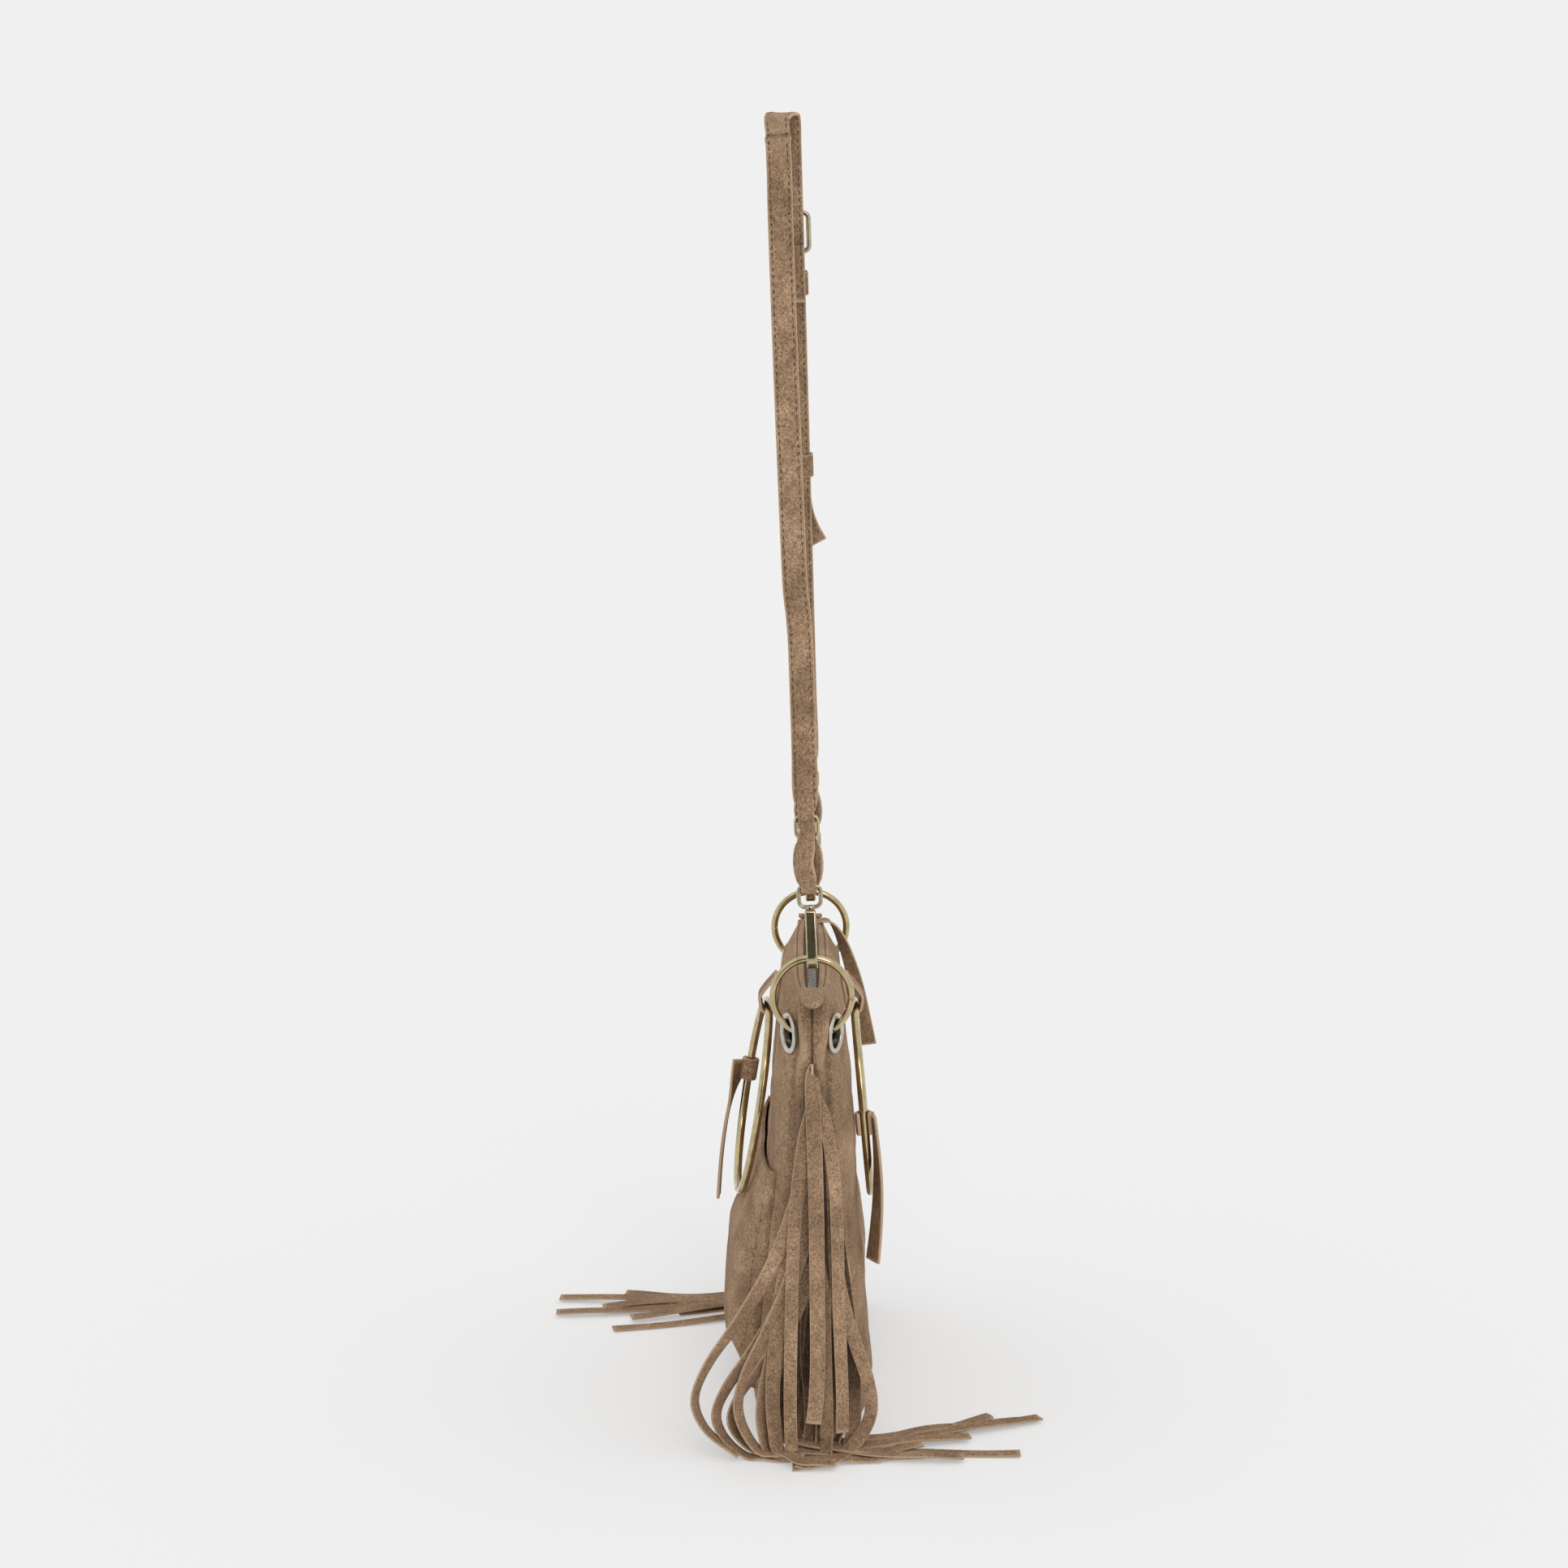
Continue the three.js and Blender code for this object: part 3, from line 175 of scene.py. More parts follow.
def ramp(tree, fac, stops):
    made = tree.nodes.new("ShaderNodeValToRGB")
    while len(made.color_ramp.elements) < len(stops):
        made.color_ramp.elements.new(0.5)
    for element, (place, colour) in zip(made.color_ramp.elements, stops):
        element.position = place
        element.color = colour
    tree.links.new(fac, made.inputs["Fac"])
    return made.outputs["Color"]


def mixed(tree, fac, a, b, blend="MIX"):
    made = tree.nodes.new("ShaderNodeMix")
    made.data_type = "RGBA"
    made.blend_type = blend
    sockets = [s for s in made.inputs if s.type == "RGBA"]
    for socket, value in ((made.inputs[0], fac), (sockets[0], a), (sockets[1], b)):
        if hasattr(value, "is_linked"):
            tree.links.new(value, socket)
        else:
            socket.default_value = value
    return next(s for s in made.outputs if s.type == "RGBA")


def bump(tree, heights, strength, distance):
    out = None
    for height, share in heights:
        made = node(tree, "ShaderNodeBump", Strength=strength * share, Distance=distance)
        tree.links.new(height, made.inputs["Height"])
        if out:
            tree.links.new(out, made.inputs["Normal"])
        out = made.outputs["Normal"]
    return out


def dimmed(colour, share):
    return tuple(share * c for c in colour[:3]) + (1,)


def suede_material():
    """Brushed suede: where cut_edge_and_painted_light is above 0 it is paler, at raw cut and rolled edges
    and where light is painted on crests and the strap's top, and below 0 it lies in painted shade.
    """
    made, tree = new_material("napped_suede")
    if tree is None:
        return made
    look_now = look()
    coords = tree.nodes.new("ShaderNodeTexCoord").outputs["Object"]
    bsdf = tree.nodes["Principled BSDF"]
    patch = noise_at(tree, coords, scale=30.0, detail=5.0, rough=0.6)
    brushed = noise_at(tree, coords, scale=170.0, detail=5.0, rough=0.7)
    grain = noise_at(tree, coords, scale=640.0, detail=5.0, rough=0.78)
    nap = noise_at(tree, coords, scale=1600.0, detail=3.0, rough=0.7)
    patches = [(0.3, look_now.suede_dark), (0.5, look_now.suede), (0.72, look_now.suede_light)]
    tone = mixed(tree, 0.62, look_now.suede, ramp(tree, patch, patches))
    streaks = [(0.36, (0.6, 0.58, 0.55, 1)), (0.64, (1.24, 1.23, 1.22, 1))]
    tone = mixed(tree, 0.45, tone, ramp(tree, brushed, streaks), "MULTIPLY")
    specks = [(0.42, (0.42, 0.41, 0.4, 1)), (0.58, (1.5, 1.51, 1.52, 1))]
    tone = mixed(tree, 0.92, tone, ramp(tree, mixed(tree, 0.45, grain, nap), specks), "MULTIPLY")
    # The point tone read here: raw cut edges and painted light above 0, painted shade below 0
    edge = tree.nodes.new("ShaderNodeAttribute")
    edge.attribute_name = "cut_edge_and_painted_light"
    # Painted shade: below 0 the tone darkens the suede down to a quarter
    shade = node(tree, "ShaderNodeMapRange", From_Min=-1.0, From_Max=0.0, To_Min=0.25)
    tree.links.new(edge.outputs["Fac"], shade.inputs["Value"])
    tone = mixed(tree, 1.0, tone, shade.outputs["Result"], "MULTIPLY")
    raw = mixed(tree, nap, look_now.suede_light, look_now.edge)
    tone = mixed(tree, edge.outputs["Fac"], tone, raw)
    tree.links.new(tone, bsdf.inputs["Base Color"])
    bsdf.inputs["Roughness"].default_value = 0.94
    bsdf.inputs["Specular IOR Level"].default_value = 0.18
    bsdf.inputs["Sheen Weight"].default_value = 0.3
    bsdf.inputs["Sheen Roughness"].default_value = 0.55
    bsdf.inputs["Sheen Tint"].default_value = look_now.suede_light
    normal = bump(tree, [(brushed, 0.5), (grain, 0.9), (nap, 0.6)], 0.55, 0.0008)
    tree.links.new(normal, bsdf.inputs["Normal"])
    return made


def thread_material():
    made, tree = new_material("waxed_thread")
    if tree is None:
        return made
    coords = tree.nodes.new("ShaderNodeTexCoord").outputs["Object"]
    bsdf = tree.nodes["Principled BSDF"]
    fuzz = noise_at(tree, coords, 900.0)
    tone = ramp(tree, fuzz, [(0.35, dimmed(look().thread, 0.6)), (0.65, look().thread)])
    tree.links.new(tone, bsdf.inputs["Base Color"])
    bsdf.inputs["Roughness"].default_value = 0.75
    tree.links.new(bump(tree, [(fuzz, 1)], 0.3, 0.0003), bsdf.inputs["Normal"])
    return made


def tape_material():
    made, tree = new_material("woven_tape")
    if tree is None:
        return made
    coords = tree.nodes.new("ShaderNodeTexCoord").outputs["Object"]
    bsdf = tree.nodes["Principled BSDF"]
    wave = node(tree, "ShaderNodeTexWave", Scale=420.0, Distortion=1.2, Detail=2.0)
    tree.links.new(coords, wave.inputs["Vector"])
    fuzz = noise_at(tree, coords, 700.0)
    tone = ramp(tree, wave.outputs["Fac"], [(0.2, dimmed(look().tape, 0.55)), (0.8, look().tape)])
    tree.links.new(tone, bsdf.inputs["Base Color"])
    bsdf.inputs["Roughness"].default_value = 0.88
    tree.links.new(bump(tree, [(wave.outputs["Fac"], 1), (fuzz, 0.5)], 0.4, 0.0004), bsdf.inputs["Normal"])
    return made


def metal_material(name, colour, worn, rough):
    """A plated metal: clouded tone, fine rubbed scratches and a little tarnish."""
    made, tree = new_material(name)
    if tree is None:
        return made
    coords = tree.nodes.new("ShaderNodeTexCoord").outputs["Object"]
    bsdf = tree.nodes["Principled BSDF"]
    cloud = noise_at(tree, coords, scale=160.0, detail=4.0, rough=0.6)
    fine = noise_at(tree, coords, scale=1400.0, detail=2.0, rough=0.5)
    tone = ramp(tree, cloud, [(0.34, dimmed(colour, worn)), (0.6, tuple(colour))])
    tree.links.new(tone, bsdf.inputs["Base Color"])
    bsdf.inputs["Metallic"].default_value = 1.0
    gloss = node(tree, "ShaderNodeMapRange", To_Min=rough, To_Max=rough + 0.1)
    tree.links.new(cloud, gloss.inputs["Value"])
    tree.links.new(gloss.outputs["Result"], bsdf.inputs["Roughness"])
    tree.links.new(bump(tree, [(fine, 1)], 0.06, 0.0003), bsdf.inputs["Normal"])
    return made


def brass():
    return metal_material("antique_brass", look().brass, 0.74, 0.1)


def nickel():
    return metal_material("warm_nickel", look().nickel, 0.7, 0.06)


def steel():
    return metal_material("pale_metal", look().steel, 0.8, 0.24)


# Meshes

def finish_piece(name, verts, faces, material, body, replaces=(), edge=None):
    """Makes a piece from points in millimetres, in the row frame, and ties it to its body."""
    mesh = bpy.data.meshes.new(name)
    mesh.from_pydata((np.asarray(verts, float) * MM).tolist(), [], [list(map(int, f)) for f in faces])
    # The tone per point: raw cut edges and painted light above 0, painted shade below 0
    if edge is not None:
        layer = mesh.attributes.new("cut_edge_and_painted_light", "FLOAT", "POINT")
        layer.data.foreach_set("value", np.asarray(edge, np.float32))
    mesh.validate()
    work = bmesh.new()
    work.from_mesh(mesh)
    bmesh.ops.recalc_face_normals(work, faces=work.faces)
    work.to_mesh(mesh)
    work.free()
    return tie(mesh, name, material, body, replaces)


def tie(mesh, name, material, body, replaces=()):
    """Makes a mesh a smooth piece of one material, on its body."""
    mesh.materials.clear()
    mesh.materials.append(material)
    mesh.polygons.foreach_set("use_smooth", [True] * len(mesh.polygons))
    mesh.set_sharp_from_angle(angle=math.radians(48))
    obj = bpy.data.objects.new(name, mesh)
    bpy.context.scene.collection.objects.link(obj)
    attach(obj, body)
    if replaces:
        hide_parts(*replaces)
    return obj


def suede_piece(name, parts, body, replaces=()):
    verts, faces, edge = merge(parts)
    return finish_piece(name, verts, faces, suede_material(), body, replaces, edge)


def plain_piece(name, parts, material, body, replaced):
    verts, faces, _ = merge(parts)
    return finish_piece(name, verts, faces, material, body, [replaced])


def merge(parts):
    # edge gathers each part's tone per point: raw cut edges and painted light above 0, painted shade below
    # 0
    verts, faces, edge, base = [], [], [], 0
    for part in parts:
        v, f, e = part if len(part) == 3 else (*part, np.zeros(len(part[0])))
        verts.append(np.asarray(v, float))
        faces += [[i + base for i in face] for face in f]
        edge.append(e)
        base += len(v)
    return np.concatenate(verts), faces, np.concatenate(edge)


def resample(rows, step):
    """Rows of numbers whose first three are a point, on a smooth curve at even steps."""
    rows = np.asarray(rows, float)
    gaps = np.linalg.norm(np.diff(rows[:, :3], axis=0), axis=1)
    t = np.concatenate([[0], np.cumsum(np.maximum(gaps, 1e-6))])
    slope = np.empty_like(rows)
    slope[1:-1] = (rows[2:] - rows[:-2]) / (t[2:] - t[:-2])[:, None]
    slope[0] = (rows[1] - rows[0]) / (t[1] - t[0])
    slope[-1] = (rows[-1] - rows[-2]) / (t[-1] - t[-2])
    s = np.linspace(0, t[-1], max(int(t[-1] / step), 3) + 1)
    i = np.clip(np.searchsorted(t, s, "right") - 1, 0, len(t) - 2)
    h = (t[i + 1] - t[i])[:, None]
    u = ((s - t[i])[:, None]) / h
    a, b, c, d = 2 * u**3 - 3 * u**2 + 1, u**3 - 2 * u**2 + u, 3 * u**2 - 2 * u**3, u**3 - u**2
    return a * rows[i] + b * h * slope[i] + c * rows[i + 1] + d * h * slope[i + 1]


def unit(a):
    return a / np.maximum(np.linalg.norm(a, axis=-1, keepdims=True), 1e-9)


def tangents(points, closed=False):
    if closed:
        return unit(np.roll(points, -1, 0) - np.roll(points, 1, 0))
    return unit(np.gradient(points, axis=0))


def tube_faces(rings, sides, closed):
    faces = []
    for i in range(rings if closed else rings - 1):
        a, b = i * sides, ((i + 1) % rings) * sides
        faces += [[a + k, a + (k + 1) % sides, b + (k + 1) % sides, b + k] for k in range(sides)]
    if not closed:
        faces += [list(range(sides))[::-1], list(range((rings - 1) * sides, rings * sides))]
    return faces


def band_frames(rows):
    points = rows[:, :3]
    along = tangents(points)
    across = rows[:, 3:6] - np.sum(rows[:, 3:6] * along, 1, keepdims=True) * along
    across = unit(across)
    return points, across, np.cross(along, across)


# A band's section: places across its flat faces, and round one cut edge the place across,
# the place through the thickness and how raw the suede is
BAND_FLAT = (-0.86, -0.5, -0.2, 0.2, 0.5, 0.86)
BAND_EDGE = ((0.97, 0.8, 0.7), (1.0, 0.3, 1.0), (1.0, -0.3, 1.0), (0.97, -0.8, 0.7))
CLOSED_HALF = (
    (-0.86, 1, 0), (-0.3, 1, 0), (0.3, 1, 0), (0.86, 1, 0), (0.98, 0.7, 0.7), (1, 0, 1), (0.98, -0.7, 0.7)
)


def band(rows, thickness, step=3.0, cup=0.0):
    """A suede band through rows of point, direction across and width, with rounded cut edges."""
    fine = resample(rows, step)
    points, across, normal = band_frames(fine)
    section = [(s, 1.0, 0.0) for s in BAND_FLAT] + [*BAND_EDGE]
    section += [(s, -1.0, 0.0) for s in BAND_FLAT[::-1]] + [(-s, f, e) for s, f, e in BAND_EDGE[::-1]]
    side, face, edge = (np.array(c) for c in zip(*section))
    lift = face * thickness / 2 + cup * (1 - side**2)
    aside = across[:, None] * (fine[:, 6:7] / 2 * side)[..., None]
    verts = points[:, None] + aside + normal[:, None] * lift[None, :, None]
    edges = np.tile(edge, (len(fine), 1))
    edges[0] = edges[-1] = 1.0
    return verts.reshape(-1, 3), tube_faces(len(fine), len(section), False), edges.reshape(-1)


def closed_band(rows, thickness):
    """A suede band that closes on itself."""
    points = rows[:, :3]
    along = tangents(points, True)
    across = unit(rows[:, 3:6] - np.sum(rows[:, 3:6] * along, 1, keepdims=True) * along)
    normal = np.cross(along, across)
    section = [*CLOSED_HALF] + [(-s, -f, e) for s, f, e in CLOSED_HALF]
    side, face, edge = (np.array(c, float) for c in zip(*section))
    aside = across[:, None] * (rows[:, 6:7] / 2 * side)[..., None]
    verts = points[:, None] + aside + normal[:, None] * (face * thickness / 2)[None, :, None]
    return verts.reshape(-1, 3), tube_faces(len(rows), len(section), True), np.tile(edge, len(rows))


def band_line(rows, aside, lift, step, trim):
    """A line that runs on a band, aside from its middle and lifted off it, less its ends."""
    points, across, normal = band_frames(resample(rows, step))
    line = points + across * aside + normal * lift
    run_to = np.concatenate([[0], np.cumsum(np.linalg.norm(np.diff(line, axis=0), axis=1))])
    return line[(run_to >= trim[0]) & (run_to <= run_to[-1] - trim[1])]


def band_length(rows):
    """The length of a band along its middle, in metres."""
    gaps = np.diff(resample(rows, STITCH_STEP)[:, :3], axis=0)
    return float(np.linalg.norm(gaps, axis=1).sum()) * MM


def wire(points, normal, radius, closed, sides=14, swell=None):
    points = np.asarray(points, float)
    along = tangents(points, closed)
    normal = np.broadcast_to(np.asarray(normal, float), points.shape)
    out = unit(np.cross(along, normal))
    up = unit(np.cross(out, along))
    turn = np.linspace(0, 2 * math.pi, sides, endpoint=False)
    size = np.full(len(points), radius) if swell is None else radius * np.asarray(swell)
    verts = points[:, None] + size[:, None, None] * (
        out[:, None] * np.cos(turn)[None, :, None] + up[:, None] * np.sin(turn)[None, :, None]
    )
    return verts.reshape(-1, 3), tube_faces(len(points), sides, closed)


def lathe(profile, centre, axis, sides=40):
    axis = unit(np.asarray(axis, float))
    side = unit(np.cross(axis, Z if abs(axis[2]) < 0.9 else X))
    other = np.cross(axis, side)
    turn = np.linspace(0, 2 * math.pi, sides, endpoint=False)
    ring = side[None] * np.cos(turn)[:, None] + other[None] * np.sin(turn)[:, None]
    verts = np.concatenate([np.asarray(centre) + axis * h + ring * r for r, h in profile])
    return verts, tube_faces(len(profile), sides, True)


def plate(outline, depth, bevel, place):
    """A flat piece with softened edges: an outline with thickness, put in place by a matrix."""
    work = bmesh.new()
    face = work.faces.new([work.verts.new((x, y, -depth / 2)) for x, y in outline])
    top = bmesh.ops.extrude_face_region(work, geom=[face])
    raised = [g for g in top["geom"] if isinstance(g, bmesh.types.BMVert)]
    bmesh.ops.translate(work, vec=(0, 0, depth), verts=raised)
    bmesh.ops.recalc_face_normals(work, faces=work.faces)
    rim = [e for e in work.edges if abs(e.verts[0].co.z - e.verts[1].co.z) < 1e-6]
    bmesh.ops.bevel(
        work, geom=rim, offset=bevel, segments=3, profile=0.5, affect="EDGES", clamp_overlap=True
    )
    work.normal_update()
    walls = [f for f in work.faces if abs(f.normal.z) < 0.1 and f.calc_area() > FLAT_WALL]
    bmesh.ops.inset_individual(work, faces=walls, thickness=0.25, use_even_offset=True)
    work.verts.index_update()
    verts = np.array([v.co[:] for v in work.verts])
    faces = [[v.index for v in f.verts] for f in work.faces]
    work.free()
    return verts @ place[:3, :3].T + place[:3, 3], faces


def oval(width, height, corner, z, steps=5):
    w, h = width / 2 - corner, height / 2 - corner
    points = []
    for cx, cy, start in ((w, h, 0), (-w, h, 90), (-w, -h, 180), (w, -h, 270)):
        for k in range(steps + 1):
            turn = math.radians(start + 90 * k / steps)
            points.append((0.0, cx + corner * math.cos(turn), cy + corner * math.sin(turn) + z))
    return np.array(points)


# Stitches and zip teeth follow lines. The first size is the step along the line, the rest the shape's,
# in metres

STITCH_SIZES = (("Pitch", 0.0044), ("Length", 0.003), ("Thickness", 0.0007), ("Height", 0.0005))
TOOTH_SIZES = (("Pitch", 0.003), ("Length", 0.0016), ("Reach", 0.0036), ("Height", 0.0022))


def row_tree(name, sizes):
    """Starts a node tree that sets a shape along a line: gives the tree, the size and the placing node."""
    tree = bpy.data.node_groups.new(name, "GeometryNodeTree")
    face = tree.interface
    face.new_socket("Line", in_out="INPUT", socket_type="NodeSocketGeometry")
    for label, value in sizes:
        face.new_socket(label, in_out="INPUT", socket_type="NodeSocketFloat").default_value = value
    face.new_socket("Material", in_out="INPUT", socket_type="NodeSocketMaterial")
    face.new_socket("Row", in_out="OUTPUT", socket_type="NodeSocketGeometry")
    into = tree.nodes.new("NodeGroupInput")
    out = tree.nodes.new("NodeGroupOutput")
    line = tree.nodes.new("GeometryNodeResampleCurve")
    line.mode = "LENGTH"
    size = tree.nodes.new("ShaderNodeCombineXYZ")
    place = tree.nodes.new("GeometryNodeInstanceOnPoints")
    real = tree.nodes.new("GeometryNodeRealizeInstances")
    paint = tree.nodes.new("GeometryNodeSetMaterial")
    link = tree.links.new
    link(into.outputs["Line"], line.inputs["Curve"])
    link(into.outputs["Pitch"], line.inputs["Length"])
    for (label, _), axis in zip(sizes[1:], "XYZ"):
        link(into.outputs[label], size.inputs[axis])
    link(line.outputs["Curve"], place.inputs["Points"])
    link(place.outputs["Instances"], real.inputs["Geometry"])
    link(real.outputs["Geometry"], paint.inputs["Geometry"])
    link(into.outputs["Material"], paint.inputs["Material"])
    link(paint.outputs["Geometry"], out.inputs["Row"])
    return tree, size.outputs["Vector"], place


def stitch_tree():
    """Short stitches laid end to end along a line, each a soft grain of thread."""
    made = bpy.data.node_groups.get("Stitch row")
    if made:
        return made
    tree, size, place = row_tree("Stitch row", STITCH_SIZES)
    grain = node(tree, "GeometryNodeMeshUVSphere", Segments=8, Rings=6, Radius=0.5)
    shape = tree.nodes.new("GeometryNodeTransform")
    way = tree.nodes.new("GeometryNodeInputTangent")
    turn = tree.nodes.new("FunctionNodeAlignRotationToVector")
    turn.axis = "X"
    tree.links.new(grain.outputs["Mesh"], shape.inputs["Geometry"])
    tree.links.new(size, shape.inputs["Scale"])
    tree.links.new(shape.outputs["Geometry"], place.inputs["Instance"])
    tree.links.new(way.outputs["Tangent"], turn.inputs["Vector"])
    tree.links.new(turn.outputs["Rotation"], place.inputs["Rotation"])
    return tree


def tooth_tree():
    """Zip teeth at even steps along a line, each a small softened block."""
    tree, size, place = row_tree("Zip teeth", TOOTH_SIZES)
    block = tree.nodes.new("GeometryNodeMeshCube")
    soft = node(tree, "GeometryNodeSubdivisionSurface", Level=1, Edge_Crease=0.6)
    tree.links.new(size, block.inputs["Size"])
    tree.links.new(block.outputs["Mesh"], soft.inputs["Mesh"])
    tree.links.new(soft.outputs["Mesh"], place.inputs["Instance"])
    return tree


def line_object(lines):
    curve = bpy.data.curves.new("guide_line", "CURVE")
    curve.dimensions = "3D"
    for line in lines:
        spline = curve.splines.new("POLY")
        spline.points.add(len(line) - 1)
        flat = np.concatenate([np.asarray(line) * MM, np.ones((len(line), 1))], 1)
        spline.points.foreach_set("co", flat.ravel())
    obj = bpy.data.objects.new("guide_line", curve)
    bpy.context.scene.collection.objects.link(obj)
    return obj


def bake_nodes(guide, tree, values):
    """Runs a node tree on a guide, with its inputs set by name, and gives back the plain mesh."""
    modifier = guide.modifiers.new("Repeat", "NODES")
    modifier.node_group = tree
    for item in tree.interface.items_tree:
        if item.item_type == "SOCKET" and item.in_out == "INPUT" and item.name in values:
            modifier[item.identifier] = values[item.name]
    graph = bpy.context.evaluated_depsgraph_get()
    mesh = bpy.data.meshes.new_from_object(guide.evaluated_get(graph), depsgraph=graph)
    guide.modifiers.remove(modifier)
    bpy.data.objects.remove(guide)
    if not mesh.polygons:
        raise RuntimeError("a row of repeats came out empty")
    return mesh


def stitches(name, lines, body, pitch=None, length=3.0, thick=0.75, height=0.55, thread=None):
    values = {
        "Pitch": (pitch or look().stitch_pitch) * MM,
        "Length": length * MM,
        "Thickness": thick * MM,
        "Height": height * MM,
        "Material": thread or thread_material(),
    }
    mesh = bake_nodes(line_object(lines), stitch_tree(), values)
    mesh.name = name
    return tie(mesh, name, thread or thread_material(), body)


# Bag shell

def half_depth(z):
    """Half of the bag's depth at a height, from the foot over the shoulder to the mouth."""
    low = FOOT_D + 0.7 * (BASE_D - FOOT_D)
    high = TOP_D + 0.75 * (SHOULDER_D - TOP_D)
    stations = (
        (0, FOOT_D / 2),
        (BASE_ROUND / 3, low / 2),
        (BASE_ROUND, BASE_D / 2),
        (BAG_H - SHOULDER_DROP, SHOULDER_D / 2),
        (BAG_H - SHOULDER_DROP / 2, high / 2),
        (BAG_H, TOP_D / 2),
    )
    return np.interp(z, *zip(*stations))


def half_length(z):
    foot = np.minimum(z / BASE_ROUND, 1)
    return (BASE_L + (TOP_L - BASE_L) * z / BAG_H) / 2 - (BASE_D - FOOT_D) / 2 * (1 - foot) ** 2


def side_at(x, z, inset=0.0):
    share = z / BAG_H
    power, rounding = 6 + (3.9 - 6) * share, 0.5 + 0.1 * share
    reach = np.minimum(np.abs(x) / (half_length(z) - inset), 1)
    return (half_depth(z) - inset) * np.maximum(1 - reach**power, 0) ** rounding


def crumple(x, z, seed):
    """Soft folds of the standing suede: drags at the ends, sags in the lower half, a fine unevenness."""
    end = (np.abs(x) / 110) ** 3
    drag = 2.3 * end * np.sin((z + 0.55 * np.abs(x)) / 17 + seed) * np.exp(-(((z - 130) / 90) ** 2))
    lower = np.exp(-(((z - 70) / 45) ** 2))
    sag = 1.3 * np.sin(z / 15 + 0.018 * x + 2 * seed) * lower * np.cos(x / 70 + seed)
    rough = np.array([
        noise.fractal(Vector((a / 42, b / 42, seed)), 1.0, 2.0, 3) for a, b in zip(x.ravel(), z.ravel())
    ]).reshape(x.shape)
    calm = np.clip((252 - z) / 40, 0, 1) * np.clip((z - 6) / 20, 0, 1)
    return (drag + 1.3 * sag + 2.0 * rough) * calm


def sheet_between(outer, inner):
    """A closed sheet between two grids of points, rows by columns, with a tone after each point or none."""
    rows, cols = outer.shape[:2]
    layer = rows * cols
    both = np.concatenate([outer.reshape(layer, -1), inner.reshape(layer, -1)])
    faces = []
    for j in range(rows - 1):
        for i in range(cols - 1):
            a = j * cols + i
            faces.append([a, a + 1, a + cols + 1, a + cols])
            faces.append([layer + a, layer + a + cols, layer + a + cols + 1, layer + a + 1])
    loop = [*range(cols), *range(2 * cols - 1, layer, cols), *range(layer - 2, layer - cols - 1, -1)]
    loop += list(range(layer - 2 * cols, 0, -cols))
    for a, b in zip(loop, loop[1:] + loop[:1]):
        faces.append([a, layer + a, layer + b, b])
    tone = both[:, 3] if both.shape[1] > 3 else np.zeros(2 * layer)
    return both[:, :3], faces, tone


# The rolled top of a panel: share of the depth just below it, and height
ROLL = (
    (0.95, 273.6), (0.88, 274.7), (0.82, 274.6), (0.785, 273.7),
    (0.74, 274.8), (0.62, 275.2), (0.5, 274.9), (0.42, 274.0),
)

# The base from its inner rim down: height and inset
BASE_RINGS = ((6.0, 3.0), (6.0, 0.4), (4.6, -0.2), (2.6, 0.2), (1.0, 1.4), (0.25, 3.2), (0.05, 6.0))


def shell_grid(facing, seed, inset):
    """Points of a panel from the base to its rolled top, each with a tone: rubbed nap and painted light on
    its crests, painted shade in its hollows, behind the fringe and under the end tab.
    """
    heights = np.concatenate([
        np.linspace(BASE_BOARD + GAP, 30, 10), np.linspace(34, 250, 55), np.linspace(253, 272.6, 9)
    ])
    across = np.sin(np.linspace(-0.5, 0.5, 81) * math.pi)
    z, s = np.meshgrid(heights, across, indexing="ij")
    x = (half_length(z) - inset) * s
    y = side_at(x, z, inset) + GAP / 2
    grid = np.stack([x, y, z], -1)
    out = unit(np.cross(np.gradient(grid, axis=0), np.gradient(grid, axis=1)))
    at_end = np.abs(s) > 0.9
    welt = np.where(at_end, 0.25 + 0.75 * np.clip((z - 190) / 40, 0, 1), 0)
    crest = 6.0 + 1.2 * np.sin(z / 11 + 2 * seed) + 0.6 * np.sin(z / 5 + seed)
    ridge = 2.3 * np.exp(-(((y - crest) / 2.7) ** 2)) - 1.7 * np.exp(-(((y - crest - 5.2) / 2.5) ** 2))
    seam = 2.0 * np.exp(-((y / 1.4) ** 2)) * at_end
    push = crumple(x, z, seed) * np.clip((y - 2) / 8, 0, 1) + welt * ridge - seam
    grid = grid + out * push[..., None]
    grid[..., 1] = facing * np.maximum(grid[..., 1], GAP / 2)
    # Painted shade on the end wall behind the fringe, and a painted shadow in the crease under the end tab
    painted_shade_behind_fringe = np.exp(-((y / 13) ** 2)) * at_end * np.clip((FRINGE_TOP - z) / 25, 0, 1)
    painted_shadow_under_tab = np.exp(-((y / 9) ** 2)) * at_end * np.clip((z - 254) / 8, 0, 1)
    # Crests paler with rubbed nap and painted light, hollows darker with painted shade
    tone = np.clip(RUB_AND_PAINTED_LIGHT * push, -0.5, 0.32) - 0.75 * painted_shade_behind_fringe - 0.5 * painted_shadow_under_tab
    grid = np.concatenate([grid, tone[..., None]], -1)
    rolled = []
    for share, height in ROLL:
        xr = (half_length(np.array(BAG_H)) - inset) * across * 0.995
        yr = (side_at(xr, np.full_like(xr, BAG_H - 1.5)) + GAP / 2) * share
        zr = np.full_like(xr, height - 0.9 * inset)
        rolled.append(np.stack([xr, facing * np.maximum(yr, GAP / 2), zr, np.full_like(xr, 0.2)], -1))
    return np.concatenate([grid, np.array(rolled)])


def eyelet_frame(facing, end):
    y = side_at(RING_X, EYELET_Z) + GAP / 2
    slope = (side_at(RING_X + 1, EYELET_Z) - side_at(RING_X - 1, EYELET_Z)) / 2
    normal = unit(np.array([-slope * end, facing, 0.0]))
    return np.array([end * RING_X, facing * y, EYELET_Z]), normal


